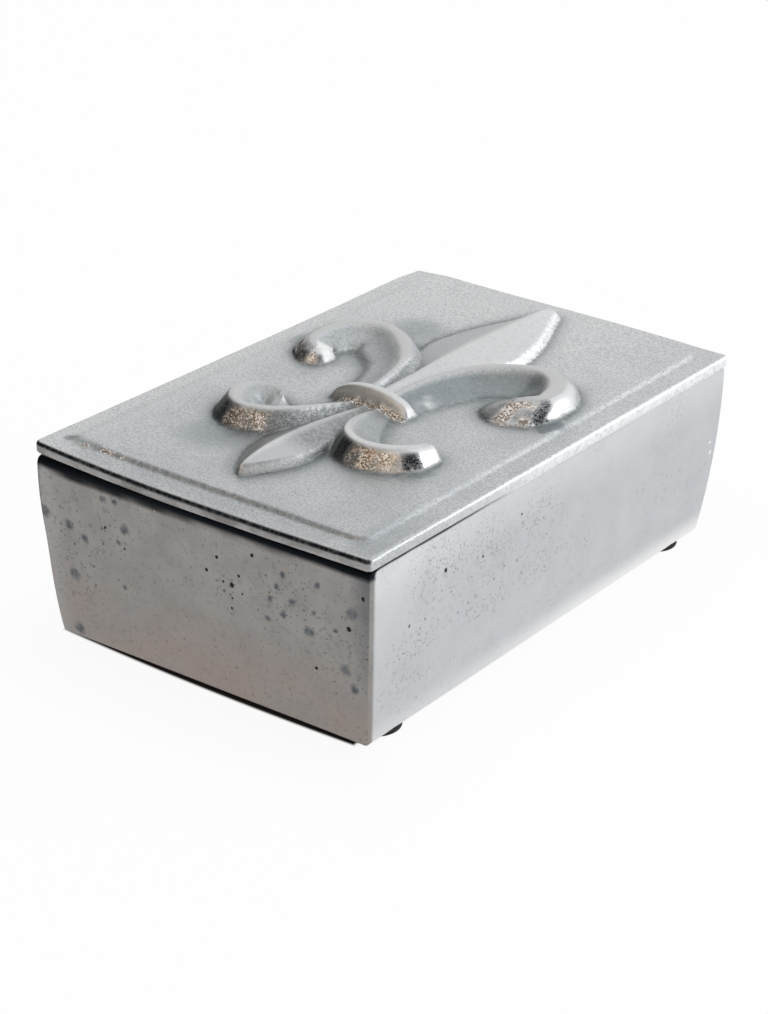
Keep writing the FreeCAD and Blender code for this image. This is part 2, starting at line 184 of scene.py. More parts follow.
class Slab:
    """A closed block: an upper grid, rings carried round its edge, and a flat face below."""

    def __init__(self, perimeter: Perimeter) -> None:
        """Starts with no vertices on a given perimeter."""
        self.perimeter = perimeter
        self.places, self.normals = perimeter.stations()
        self.points: list[Array] = []
        self.marks: dict[str, list[Array]] = {}

    def plan(self, half: tuple[float, float], corner: float) -> tuple[Array, Array]:
        """The upper grid's plan, inside the corner arcs.

        Args:
            half: Half sizes of the outline across and along.
            corner: Radius of its corners.

        Returns:
            Coordinates across and along, each one row per step along.
        """
        across = np.linspace(-1, 1, self.perimeter.across + 1) * (half[0] - corner)
        along = np.linspace(-1, 1, self.perimeter.along + 1) * (half[1] - corner)
        return np.meshgrid(across, along)

    def outline(self, half: tuple[float, float], corner: float, inset: Array | float = 0.0) -> Array:
        """One ring's plan: an inner rectangle, moved out along each normal.

        Args:
            half: Half sizes of the outline across and along.
            corner: Radius of its corners.
            inset: How far the ring, or each of its points, stays in from the outline.

        Returns:
            One row of two coordinates per point.
        """
        core = np.array([half[0] - corner, half[1] - corner])
        out = corner - np.broadcast_to(inset, len(self.places))
        return self.places * core + self.normals * out[:, None]

    @staticmethod
    def travel(ring: Array) -> Array:
        """The way walked along a ring to each of its points."""
        return np.cumsum(np.linalg.norm(np.diff(ring, axis=0, prepend=0), axis=1))

    def add(self, plan: Array, level: Array | float, **marks: Array | float) -> None:
        """Adds points at a level, with a value for each named mark.

        Args:
            plan: One row of two coordinates per point.
            level: Height of all points or of each.
            marks: Values that the finish reads, for all points or for each.
        """
        self.points.append(np.column_stack([plan, np.broadcast_to(level, len(plan))]))
        for name, value in marks.items():
            self.marks.setdefault(name, []).append(np.broadcast_to(value, len(plan)).astype(np.float32))

    def faces(self) -> list[list[int]]:
        """Squares of the upper grid, strips from ring to ring, and the last ring's flat face.

        Returns:
            Vertex numbers of each face, turned outwards.
        """
        across, along = self.perimeter.across, self.perimeter.along
        number = np.arange((across + 1) * (along + 1)).reshape(along + 1, across + 1)
        corners = [number[:-1, :-1], number[:-1, 1:], number[1:, 1:], number[1:, :-1]]
        squares = np.stack(corners, -1).reshape(-1, 4)
        steps = np.rint((self.places + 1) / 2 * [across, along]).astype(int)
        seam = number[steps[:, 1], steps[:, 0]]
        rings = [seam] + [number.size + index * len(seam) + np.arange(len(seam))
                          for index in range(len(self.points) - 1)]
        strips = np.concatenate([np.stack([upper, lower, np.roll(lower, -1), np.roll(upper, -1)], -1)
                                 for upper, lower in zip(rings, rings[1:])])
        pinched = strips[:, 0] == strips[:, 3]
        return [*squares.tolist(), *strips[~pinched].tolist(), *strips[pinched, :3].tolist(),
                rings[-1][::-1].tolist()]

    def build(self, name: str) -> bpy.types.Object:
        """Makes the mesh object, shaded smooth but for the flat face below.

        Args:
            name: The piece's name.

        Returns:
            The finished object.
        """
        piece = mesh_piece(name, np.concatenate(self.points), self.faces())
        piece.data.polygons[len(piece.data.polygons) - 1].use_smooth = False
        for mark, values in self.marks.items():
            attribute = piece.data.attributes.new(mark, "FLOAT", "POINT")
            attribute.data.foreach_set("value", np.concatenate(values))
        return piece


def mesh_piece(name: str, points: Array, faces: list[list[int]]) -> bpy.types.Object:
    """Puts points and faces into a new smooth-shaded object at the origin.

    Args:
        name: The object's name.
        points: One row of three coordinates per vertex, in metres.
        faces: Vertex numbers of each face.

    Returns:
        The object, linked to the scene.
    """
    mesh = bpy.data.meshes.new(name)
    mesh.from_pydata(points.tolist(), [], faces)
    mesh.polygons.foreach_set("use_smooth", np.ones(len(mesh.polygons), bool))
    mesh.update()
    piece = bpy.data.objects.new(name, mesh)
    bpy.context.scene.collection.objects.link(piece)
    return piece


class Signal:
    """A number that changes over a surface: a socket whose operators add Math nodes."""

    def __init__(self, tree: "FinishTree", socket: bpy.types.NodeSocket) -> None:
        """Wraps one output socket of a tree."""
        self.tree = tree
        self.socket = socket

    def math(self, operation: str, *operands: "Signal | float") -> "Signal":
        """Adds one Math node that works on the operands in order."""
        return self.tree.signal("ShaderNodeMath", {"operation": operation}, dict(enumerate(operands)))

    def __add__(self, other: "Signal | float") -> "Signal":
        """The sum."""
        return self.math("ADD", self, other)

    __radd__ = __add__

    def __sub__(self, other: "Signal | float") -> "Signal":
        """The difference."""
        return self.math("SUBTRACT", self, other)

    def __rsub__(self, other: "Signal | float") -> "Signal":
        """The difference, from a plain number."""
        return self.math("SUBTRACT", other, self)

    def __mul__(self, other: "Signal | float") -> "Signal":
        """The product."""
        return self.math("MULTIPLY", self, other)

    __rmul__ = __mul__

    def largest(self, other: "Signal | float") -> "Signal":
        """The larger of two values."""
        return self.math("MAXIMUM", self, other)

    def step(self, low: float, high: float) -> "Signal":
        """Eases from 0 at low to 1 at high."""
        settings = {"interpolation_type": "SMOOTHSTEP"}
        return self.tree.signal("ShaderNodeMapRange", settings, {0: self, 1: low, 2: high, 3: 0.0, 4: 1.0})


class FinishTree:
    """The node tree of one material or of the world, with one way to add a node."""

    def __init__(self, tree: bpy.types.NodeTree) -> None:
        """Empties a tree to start on."""
        self.tree = tree
        tree.nodes.clear()

    def node(self, kind: str, settings: dict | None = None, inputs: dict | None = None) -> bpy.types.Node:
        """Adds a node, sets it up, and then fills its sockets.

        Args:
            kind: The node's type.
            settings: Properties to set first.
            inputs: Socket name or number to a signal, a socket or a plain value.

        Returns:
            The node.
        """
        node = self.tree.nodes.new(kind)
        for name, value in (settings or {}).items():
            setattr(node, name, value)
        for key, value in (inputs or {}).items():
            source = value.socket if isinstance(value, Signal) else value
            if isinstance(source, bpy.types.NodeSocket):
                self.tree.links.new(source, node.inputs[key])
            else:
                node.inputs[key].default_value = source
        return node

    def signal(self, kind: str, settings: dict | None = None, inputs: dict | None = None,
               output: int | str = 0) -> Signal:
        """Adds a node and wraps one of its outputs."""
        return Signal(self, self.node(kind, settings, inputs).outputs[output])

    def place(self) -> bpy.types.NodeSocket:
        """The piece's own coordinates, in metres."""
        return self.node("ShaderNodeTexCoord").outputs["Object"]

    def axis(self, number: int) -> Signal:
        """One of the piece's own coordinates, in metres."""
        return self.signal("ShaderNodeSeparateXYZ", None, {0: self.place()}, number)

    def mark(self, name: str) -> Signal:
        """A value that the mesh carries at its vertices."""
        return self.signal("ShaderNodeAttribute", {"attribute_name": name}, None, "Fac")

    def noise(self, size: float, detail: float = 3.0, place: bpy.types.NodeSocket | None = None,
              roughness: float = 0.55) -> Signal:
        """Cloudy noise with features of one size.

        Args:
            size: The features' size in metres.
            detail: How many finer layers lie on them.
            place: Coordinates to read instead of the piece's own.
            roughness: How strong the finer layers are.

        Returns:
            The noise, from 0 to 1.
        """
        inputs = {"Vector": place or self.place(), "Scale": 1 / size, "Detail": detail,
                  "Roughness": roughness}
        return self.signal("ShaderNodeTexNoise", None, inputs)

    def stretched(self, stretch: tuple[float, float, float]) -> bpy.types.NodeSocket:
        """The piece's coordinates multiplied along each axis."""
        inputs = {0: self.place(), 1: stretch}
        return self.node("ShaderNodeVectorMath", {"operation": "MULTIPLY"}, inputs).outputs[0]

    def voronoi(self, spacing: float) -> bpy.types.Node:
        """Cells of a spacing in metres, drawn through the piece."""
        return self.node("ShaderNodeTexVoronoi", None, {"Vector": self.place(), "Scale": 1 / spacing})

    def pits(self, spacing: float, radius: float, kept: float) -> Signal:
        """Round pits in some of the cells of a spacing.

        Args:
            spacing: Size of a cell in metres.
            radius: Pit radius in metres.
            kept: Share of the cells that hold a pit.

        Returns:
            1 in the middle of a pit and 0 outside.
        """
        cells = self.voronoi(spacing)
        chance = self.signal("ShaderNodeSeparateColor", None, {0: cells.outputs["Color"]})
        middle = Signal(self, cells.outputs["Distance"]).step(radius / spacing, radius / spacing * 0.3)
        return middle * chance.step(1 - kept, 1 - kept * 0.7)

    def cells(self, spacing: float) -> Signal:
        """A value from 0 to 1 drawn for each cell of a spacing in metres."""
        return self.signal("ShaderNodeSeparateColor", None, {0: self.voronoi(spacing).outputs["Color"]})

    def mix(self, share: Signal | float, first: "Colour | bpy.types.NodeSocket",
            second: "Colour | bpy.types.NodeSocket") -> bpy.types.NodeSocket:
        """A colour between two others.

        Args:
            share: How far it lies from the first to the second.
            first: The colour at 0.
            second: The colour at 1.

        Returns:
            The mixed colour.
        """
        settings = {"data_type": "RGBA"}
        return self.node("ShaderNodeMix", settings, {0: share, 6: first, 7: second}).outputs[2]

    def bump(self, height: Signal, depth: float) -> bpy.types.NodeSocket:
        """Normals of a height from 0 to 1, deep in metres."""
        inputs = {"Height": height, "Distance": depth, "Strength": 1.0}
        return self.node("ShaderNodeBump", None, inputs).outputs[0]

    def metal(self, colour: bpy.types.NodeSocket, roughness: Signal, normal: bpy.types.NodeSocket,
              metallic: Signal | float = 1.0) -> None:
        """Ends the tree in a metal surface.

        Args:
            colour: Its colour.
            roughness: How rough it is.
            normal: Its bumped normals.
            metallic: How far it is bare metal.
        """
        shader = self.node("ShaderNodeBsdfPrincipled", None, {
            "Base Color": colour, "Metallic": metallic, "Roughness": roughness, "Normal": normal})
        self.node("ShaderNodeOutputMaterial", None, {"Surface": shader.outputs[0]})


def new_material(name: str) -> tuple[bpy.types.Material, FinishTree]:
    """A named material and its empty tree."""
    material = bpy.data.materials.new(name)
    material.use_nodes = True
    return material, FinishTree(material.node_tree)


def grey(level: float, warmth: float = 0.0) -> Colour:
    """A grey of one level, warmer above 0 and cooler below."""
    return level * (1 + warmth), level, level * (1 - warmth), 1.0


LID_MARKS = ("rim", "wall", "dish", "shade_and_grit", "warm_reflection", "gloss",
             "halo", "painted_highlight", "matte_highlight", "painted_dark", "end", "line")


@dataclass(frozen=True)
class LidFinish:
    """Tumbled sand-cast aluminium: grainy satin ground and smooth high spots, with painted shade in the
    hollows and round the relief, painted highlights and painted warm and dark reflections.
    """

    ground: float = 0.68
    ground_deep: float = 0.56
    # Ground colour with painted light, at the rear and along the left edge.
    ground_far: float = 0.72
    shade: Colour = (0.265, 0.300, 0.312, 1.0)
    rim: float = 0.56
    polish: float = 0.68
    # Colour of painted highlights.
    painted_highlight: float = 0.93
    # Colour of the painted shade on the scrolls' dishes, the leaves' left halves and the band's front face.
    dish: Colour = (0.250, 0.283, 0.295, 1.0)
    # Colour of the painted shade on the lid's front and rear edges.
    end: float = 0.37
    speck: Colour = (0.088, 0.100, 0.105, 1.0)
    # Near black of painted dark reflections and painted shade lines.
    painted_dark: Colour = (0.018, 0.023, 0.030, 1.0)
    # Cream and amber colour the painted warm reflection on the scrolls' end walls, the band's beads and the
    # front step; ochre colours the darker grains among it.
    cream: Colour = (0.93, 0.89, 0.85, 1.0)
    amber: Colour = (0.93, 0.79, 0.67, 1.0)
    ochre: Colour = (0.30, 0.24, 0.195, 1.0)
    grain_depth: float = 0.10 * MM

    def material(self) -> bpy.types.Material:
        """Builds the nodes.

        Returns:
            The material.
        """
        material, tree = new_material("lid_cast_aluminium")
        marks = (tree.mark(name) for name in LID_MARKS)
        rim, wall, dish, shade_and_grit, warm_reflection, gloss, halo, painted_highlight, matte_highlight, painted_dark, end, line = marks
        cloud = tree.noise(15 * MM)
        grain = tree.noise(0.7 * MM, 3.0)
        sand = tree.noise(1.5 * MM, 3.0)
        tooth = tree.noise(0.42 * MM, 2.0)
        clump = tree.noise(3.2 * MM, 1.0)
        smooth = rim.largest(gloss)
        specks = tree.pits(0.9 * MM, 0.28 * MM, 0.30) * (1 - smooth)
        # Painted light: the ground grows lighter towards the rear and along the rear and left edges, over its
        # cloudy tone.
        pale = cloud.step(0.28, 0.72) * 0.6 + tree.axis(1).step(-70 * MM, 60 * MM) * 0.5
        colour = tree.mix(pale, grey(self.ground_deep, -0.022), grey(self.ground, -0.010))
        far = tree.axis(1).step(10 * MM, 80 * MM) * tree.axis(0).step(50 * MM, 15 * MM)
        far = far.largest(tree.axis(0).step(-40 * MM, -54 * MM))
        colour = tree.mix(far * 0.8, colour, grey(self.ground_far, -0.006))
        colour = tree.mix(halo * (0.35 + 0.6 * sand), colour, self.shade)
        colour = tree.mix(grain.step(0.60, 0.36) * 0.45, colour, self.shade)
        # Painted shade on the dished slopes, the leaves' left halves and the band's front face.
        colour = tree.mix(dish * (0.6 + 0.4 * sand), colour, self.dish)
        colour = tree.mix(rim, colour, grey(self.rim, -0.003))
        colour = tree.mix(gloss, colour, grey(self.polish))
        # Painted shade and grit: dark specks round the lily's foot, in its creases, on the front step and on
        # rough walls.
        mottle = 0.22 + sand.step(0.34, 0.62) * 0.32 + tooth.step(0.44, 0.62) * 0.22
        colour = tree.mix(shade_and_grit * mottle, colour, self.speck)
        colour = tree.mix(wall * (1 - gloss) * tooth.step(0.46, 0.60) * 0.5, colour, self.speck)
        # Painted highlights: right-lit walls, the panel's right step, the lid's long edges and parts of the
        # crests.
        highlit = painted_highlight.largest(matte_highlight) * (0.55 + 0.45 * sand.step(0.35, 0.55))
        colour = tree.mix(highlit, colour, grey(self.painted_highlight, -0.01))
        # Painted warm reflection: grains of cream and amber with painted dark among them, on the scrolls' end
        # walls, the band's beads and the front step.
        warm = tree.mix(clump.step(0.50, 0.64) * tree.axis(0).step(-6 * MM, 14 * MM), self.cream, self.amber)
        grit = tree.cells(0.46 * MM)
        spark = grit * 0.55 + tooth * 0.45 + 0.08 * warm_reflection
        grains = spark.step(0.50, 0.74)
        glitter = tree.mix(spark.step(0.18, 0.36), self.painted_dark, self.ochre)
        flush = (warm_reflection + grit * 0.5 + tooth * 0.5).step(0.70, 1.20)
        colour = tree.mix(flush, colour, tree.mix(grains, glitter, warm))
        # Painted dark reflection on the scrolls' end walls.
        colour = tree.mix(painted_dark * (0.5 + 0.5 * tooth.step(0.58, 0.42)), colour, self.painted_dark)
        # Streaked painted shade on the lid's front and rear edges.
        streak = tree.noise(2.4 * MM, 3.0, tree.stretched((0.25, 1.0, 1.0)))
        band = tree.mix(streak.step(0.36, 0.62), grey(self.end * 0.55, 0.06), grey(self.end, 0.02))
        colour = tree.mix(end * 0.9, colour, band)
        # Painted dark lines: on the front and rear top edges, and a painted shadow along the lower edge.
        colour = tree.mix(line * (0.8 + 0.2 * sand.step(0.62, 0.45)), colour, self.painted_dark)
        colour = tree.mix(specks * 0.45, colour, self.speck)
        roughness = 0.36 + 0.16 * grain - 0.06 * rim - 0.16 * gloss
        roughness = roughness + 0.06 * cloud + 0.15 * shade_and_grit + 0.2 * matte_highlight
        height = (grain * 0.6 + sand * 0.6) * (1 - smooth * 0.8) - specks * 0.5
        height = height + (wall * 0.5 + warm_reflection * 0.7 + painted_highlight * 0.6) * (1 - gloss * 0.7) * tooth
        tree.metal(colour, roughness, tree.bump(height, self.grain_depth),
                   1 - 0.35 * flush * grains - 0.6 * matte_highlight)
        return material


class Blemish(Enum):
    """Marks on the tray that show from a step away: place along the face, level, radius, in millimetres."""

    BLOTCHES = (
        (-34.0, 50.3, 1.0), (-29.7, 50.1, 0.8), (-26.5, 42.9, 1.5), (-29.2, 38.1, 0.9),
        (-56.9, 39.7, 1.9), (-47.3, 22.4, 1.8), (-41.8, 35.5, 1.2), (-47.7, 38.1, 1.5),
        (-47.8, 4.1, 1.7), (-28.1, 24.3, 0.8), (29.6, 46.9, 1.0), (27.5, 42.4, 0.9),
        (25.1, 38.0, 1.0), (32.5, 39.5, 1.0), (29.3, 34.8, 1.1), (23.7, 31.7, 0.8),
        (38.0, 32.4, 1.5), (39.6, 38.6, 0.8), (41.1, 47.3, 1.0), (49.5, 24.5, 1.5),
        (52.5, 42.5, 1.6), (46.8, 35.8, 0.8), (52.1, 19.5, 1.4))
    PITS = (
        (-33.8, 41.4, 0.45), (-26.9, 36.7, 0.4), (3.0, 39.9, 0.5), (6.8, 44.9, 0.5),
        (14.4, 41.5, 0.45), (11.8, 37.9, 0.75), (8.8, 38.1, 0.35), (15.3, 36.3, 0.35),
        (11.7, 33.8, 0.35), (11.3, 30.7, 0.35), (19.2, 49.3, 0.6), (51.4, 37.7, 0.75),
        (56.2, 48.1, 0.6), (39.7, 21.7, 0.5))
    SPRAYS = (
        (-42.0, 42.0, 17.0), (-45.0, 24.0, 12.0), (30.0, 40.0, 12.0), (48.0, 30.0, 14.0),
        (10.0, 38.0, 7.0))
    SIDE_SPRAYS = (
        (-58.0, 40.0, 15.0), (-36.0, 34.0, 16.0), (-12.0, 36.0, 14.0), (-70.0, 20.0, 12.0))
    SIDE_PITS = (
        (-55.4, 43.7, 0.7), (-70.6, 33.0, 0.4), (-38.0, 41.0, 0.4), (-20.0, 47.0, 0.4))
    SIDE_CHIPS = (
        (84.1, 32.5, 0.5), (85.0, 28.8, 0.6))


@dataclass(frozen=True)
class TrayFinish:
    """Cast aluminium ground smooth: bright sides with painted light, ends painted darker and warmer as shade,
    blotches and pits, rough inside, and a painted shadow under the lid.
    """

    side: float = 0.60
    # The ends' colour, painted darker than the sides as shade.
    end: float = 0.315
    end_low: float = 0.25
    inside: float = 0.42
    chip: float = 0.95
    blotch: Colour = (0.085, 0.095, 0.11, 1.0)
    fleck: Colour = (0.05, 0.055, 0.06, 1.0)
    pit: Colour = (0.012, 0.012, 0.014, 1.0)
    # Near black of the painted shadow under the lid's edge and at the ends' bottom.
    seam: Colour = (0.010, 0.013, 0.017, 1.0)
    # Warm colour of the painted reflection along the bottom of the ends.
    warm_reflection: Colour = (0.36, 0.27, 0.235, 1.0)
    left_edge: float = 0.42
    foot_light: float = 0.86
    lit: float = 0.74
    skin_depth: float = 0.035 * MM

    def spots(self, tree: FinishTree, blemish: Blemish, edge: float, ragged: float) -> Signal:
        """One face's marks of one kind, with ragged outlines.

        Args:
            tree: The tree to add to.
            blemish: Which marks.
            edge: Radius share over which a mark fades.
            ragged: How far the outlines wander, in metres.

        Returns:
            1 inside a mark and 0 outside.
        """
        side = blemish in (Blemish.SIDE_SPRAYS, Blemish.SIDE_PITS, Blemish.SIDE_CHIPS)
        wander = tree.node("ShaderNodeTexNoise", None,
                           {"Vector": tree.place(), "Scale": 0.7 / ragged, "Detail": 4.0})
        flat = tree.stretched((0, 1, 1) if side else (1, 0, 1))
        shifted = tree.node("ShaderNodeVectorMath", {"operation": "MULTIPLY_ADD"},
                            {0: wander.outputs["Color"], 1: (ragged,) * 3, 2: flat}).outputs[0]
        total: Signal | None = None
        for place, level, radius in blemish.value:
            middle = np.array([0.0, place, level] if side else [place, 0.0, level]) * MM + ragged / 2
            away = tree.signal("ShaderNodeVectorMath", {"operation": "DISTANCE"},
                               {0: shifted, 1: tuple(middle)}, "Value")
            spot = away.step(radius * MM * (1 + edge), radius * MM * (1 - edge))
            total = spot if total is None else total.largest(spot)
        return total

    def material(self) -> bpy.types.Material:
        """Builds the nodes.

        Returns:
            The material.
        """
        material, tree = new_material("tray_cast_aluminium")
        end, inside, front = tree.mark("end"), tree.mark("inside"), tree.mark("front")
        level, seam = tree.mark("rise"), tree.mark("seam")
        right = tree.axis(0).step(44 * MM, 50 * MM) * (1 - end) * (1 - inside)
        cloud = tree.noise(24 * MM)
        veil = tree.noise(9 * MM, 4.0)
        grain = tree.noise(0.7 * MM, 3.0)
        sand = tree.noise(1.8 * MM, 3.0)
        patches = tree.noise(26 * MM, 2.0).step(0.40, 0.62)
        front_spray = self.spots(tree, Blemish.SPRAYS, 0.7, 6 * MM) * front
        side_spray = self.spots(tree, Blemish.SIDE_SPRAYS, 0.7, 6 * MM) * right
        spray = front_spray.largest(side_spray).largest(patches * 0.4).largest(0.45 * end)
        flecks = tree.pits(1.1 * MM, 0.36 * MM, 0.40).largest(tree.pits(2.3 * MM, 0.6 * MM, 0.30)) * spray
        holes = tree.pits(7 * MM, 0.45 * MM, 0.08) * (1 - front) * (1 - right)
        stains = tree.pits(9 * MM, 1.7 * MM, 0.16) * end * (1 - front)
        blotches = (self.spots(tree, Blemish.BLOTCHES, 0.55, 2.2 * MM) * front).largest(stains)
        holes = (self.spots(tree, Blemish.PITS, 0.35, 0.8 * MM) * front).largest(holes)
        holes = holes.largest(self.spots(tree, Blemish.SIDE_PITS, 0.35, 0.8 * MM) * right)
        chips = self.spots(tree, Blemish.SIDE_CHIPS, 0.4, 0.8 * MM) * right
        side = tree.mix(veil.step(0.3, 0.7), grey(self.side * 0.93, -0.034), grey(self.side, -0.026))
        # The ends painted darker and warmer as shade, darker towards the bottom.
        shaded_end = tree.mix(veil.step(0.3, 0.7), grey(self.end * 0.86, 0.045), grey(self.end, 0.04))
        shaded_end = tree.mix(level.step(0.8, 0.1) * 0.6, shaded_end, grey(self.end_low, 0.045))
        colour = tree.mix(end, side, shaded_end)
        # Painted warm reflection along the lower part of the ends.
        warm = end * level.step(0.55, 0.02) * (0.3 + 0.5 * cloud.step(0.36, 0.62)) * 0.6
        colour = tree.mix(warm, colour, self.warm_reflection)
        colour = tree.mix(inside, colour, grey(self.inside))
        lit = right * (tree.axis(1).step(-30 * MM, -85 * MM) * level.step(0.3, 0.9) * 0.4
                       + level.step(0.70, 0.98) * 0.6)
        colour = tree.mix(lit, colour, grey(self.lit, -0.02))
        # The front face grows darker towards its right end.
        by_right = front * tree.axis(0).step(50 * MM, 57.5 * MM) * level.step(0.1, 0.9)
        colour = tree.mix(by_right * 0.6, colour, self.blotch)
        by_left = front * tree.axis(0).step(-48 * MM, -57 * MM)
        colour = tree.mix(by_left * 0.45, colour, grey(self.left_edge))
        colour = tree.mix(spray * right * veil.step(0.42, 0.66) * 0.12, colour, self.blotch)
        colour = tree.mix(flecks * (0.70 + 0.15 * end), colour, self.fleck)
        colour = tree.mix(spray * sand.step(0.52, 0.72) * (0.26 + 0.12 * end), colour, self.blotch)
        colour = tree.mix(blotches * (0.55 + 0.45 * sand.step(0.35, 0.65)), colour, self.blotch)
        colour = tree.mix(holes, colour, self.pit)
        colour = tree.mix(chips, colour, grey(self.chip))
        # A painted shadow line at the very bottom of the ends.
        colour = tree.mix(end * (1 - inside) * level.step(0.018, 0.004) * 0.7, colour, self.seam)
        to_rear = 0.4 + 0.6 * tree.axis(1).step(-60 * MM, 40 * MM)
        lowest = (1 - end) * (1 - inside) * level.step(0.15, 0.0)
        colour = tree.mix(lowest * to_rear, colour, grey(self.foot_light))
        # Painted shadow under the lid's edge.
        colour = tree.mix(seam, colour, self.seam)
        sparks = tree.pits(5 * MM, 0.42 * MM, 0.5) * seam.step(0.1, 0.4) * seam.step(1.0, 0.8) * end
        colour = tree.mix(sparks, colour, grey(self.chip))
        roughness = 0.28 + 0.10 * grain + 0.06 * cloud + 0.08 * end + 0.22 * inside + 0.2 * seam
        height = grain * 0.35 + sand * (0.25 + inside * 1.6) - holes * 3.0 - blotches * 0.6 - flecks * 0.5
        tree.metal(colour, roughness, tree.bump(height, self.skin_depth))
        return material


@dataclass(frozen=True)
class RubberFinish:
    """Matt black rubber with a fine tooth and a little dust."""

    black: float = 0.007
    dust: float = 0.03
    sheen: float = 0.4
    tooth_depth: float = 0.04 * MM

    def material(self) -> bpy.types.Material:
        """Builds the nodes.

        Returns:
            The material.
        """
        material, tree = new_material("pad_black_rubber")
        tooth = tree.noise(0.4 * MM, 3.0)
        dust = tree.noise(3 * MM, 2.0)
        shader = tree.node("ShaderNodeBsdfPrincipled", None, {
            "Base Color": tree.mix(dust.step(0.55, 0.8) * 0.6, grey(self.black), grey(self.dust)),
            "Roughness": 0.62 + 0.2 * tooth, "Specular IOR Level": self.sheen,
            "Normal": tree.bump(tooth, self.tooth_depth)})
        tree.node("ShaderNodeOutputMaterial", None, {"Surface": shader.outputs[0]})
        return material


@dataclass(frozen=True)
class Scroll:
    """A curled stroke: a raised rim along a path, a steep outer wall and a dished slope on the other side.

    Rows run along the rim in millimetres: place across and along, the rim's half width, the outer wall's
    run, the dish's run, the rim's height, the dish's height at its far edge and, from 0 to 1, how round the
    wall is.
    """

    rows: tuple[tuple[float, ...], ...]
    dish_side: int
    gloss_from: float
    dish_shade: float
    ball_from: float = 0.88
    coarse_until: float = -0.2
    split: float = 0.62
    lip_run: float = 1.1 * MM
    hollow_power: float = 1.7
    wall_power: float = 1.25
    dome_power: float = 0.7

    def relief(self, across: Array, along: Array) -> dict[str, Array]:
        """The higher of the path's two stretches at each point, so a curl's end can lie beside its start.

        Args:
            across: Coordinates of the points, in metres.
            along: The same, along the lid.

        Returns:
            Heights, and how far each point belongs to the rim, the dish, the outer wall and the polished end.
        """
        samples = curve_through(self.rows, 32)
        samples[:, :-1] *= MM
        share = np.linspace(0, 1, len(samples))
        cut = int(self.split * len(samples))
        first = self.stretch(samples[:cut + 1], share[:cut + 1], across, along)
        second = self.stretch(samples[cut:], share[cut:], across, along)
        higher = second["height"] > first["height"]
        whole = {name: np.where(higher, second[name], first[name]) for name in first}
        hollow = np.clip(1.6 * spread((whole["dish"] > 0).astype(float), 14), 0, 1)
        hollow = hollow * (1 - whole["rim"]) * (1 - whole["wall"])
        whole["height"] = whole["height"] + hollow * (spread(whole["height"], 8) - whole["height"])
        return whole

    def stretch(self, samples: Array, share: Array, across: Array, along: Array) -> dict[str, Array]:
        """Heights from the nearest sample of one stretch of the rim's path.

        A point's distance across the path picks the rim's flat, the outer wall or the dish's power curve.
        The wall falls as a power of what is left of its run, or as a power of a circle's where it is round.
        Past the path's own ends the same fall is taken round the end point; past a cut the heights fade
        within the lip's run.

        Args:
            samples: The stretch's rows, one per sample, in metres.
            share: Each sample's share of the whole path.
            across: Coordinates of the points, in metres.
            along: The same, along the lid.

        Returns:
            The same values as the whole relief.
        """
        path, heading = samples[:, :2], np.gradient(samples[:, :2], axis=0)
        heading /= np.linalg.norm(heading, axis=1)[:, None]
        points = np.stack([across.ravel(), along.ravel()], 1)
        nearest = np.argmin((points ** 2).sum(1)[:, None] - 2 * points @ path.T + (path ** 2).sum(1), 1)
        offset, ahead = points - path[nearest], heading[nearest]
        aside = (ahead[:, 0] * offset[:, 1] - ahead[:, 1] * offset[:, 0]) * self.dish_side
        beyond = np.linalg.norm(offset, axis=1)
        band, outer, inner, crest, edge, soft = samples[nearest, 2:].T
        first, last = nearest == 0, nearest == len(path) - 1
        cut = (first & (share[0] > 0)) | (last & (share[-1] < 1))
        end = (first | last) & ~cut
        past = (offset * ahead).sum(1) * np.where(first, -1, 1)
        fade = np.where(cut, 1 - smoothstep(0, self.lip_run, past), 1)
        lean = np.where(end, 0.5 + 0.5 * aside / np.maximum(beyond, 1e-9), (aside > 0).astype(float))
        away = np.where(end, beyond, np.abs(aside))
        down = np.clip((away - band) / outer, 0, 1)
        dome = (1 - down ** 2) ** self.dome_power
        wall = (1 - soft) * (1 - down) ** self.wall_power + soft * dome
        fall = np.clip((away - band) / inner, 0, 1)
        lip = 1 - smoothstep(0, self.lip_run, away - band - inner)
        ball = smoothstep(self.ball_from, self.ball_from + 0.11, share[nearest])
        dish = (edge + (crest - edge) * (1 - fall) ** self.hollow_power) * lip
        dish = (1 - ball) * dish + ball * crest * dome
        crown = (1 - 0.04 * np.clip(away / band, 0, 1) ** 2) * fade
        sunk = smoothstep(0.0, 0.25, fall) * smoothstep(0.02, 0.2, lip)
        outside = np.maximum(1 - lean, ball) * smoothstep(0.02, 0.12, down)
        values = {
            "height": ((1 - lean) * crest * wall + lean * dish) * crown,
            "rim": 1 - smoothstep(0.9, 1.3, away / band),
            # Painted shade on the dished side.
            "dish": lean * sunk * (1 - ball) * self.dish_shade,
            "wall": outside,
            "gloss": smoothstep(self.gloss_from, self.gloss_from + 0.08, share[nearest]) * outside,
            "coarse": smoothstep(self.coarse_until + 0.08, self.coarse_until, share[nearest]) * outside,
        }
        return {name: value.reshape(across.shape) for name, value in values.items()}


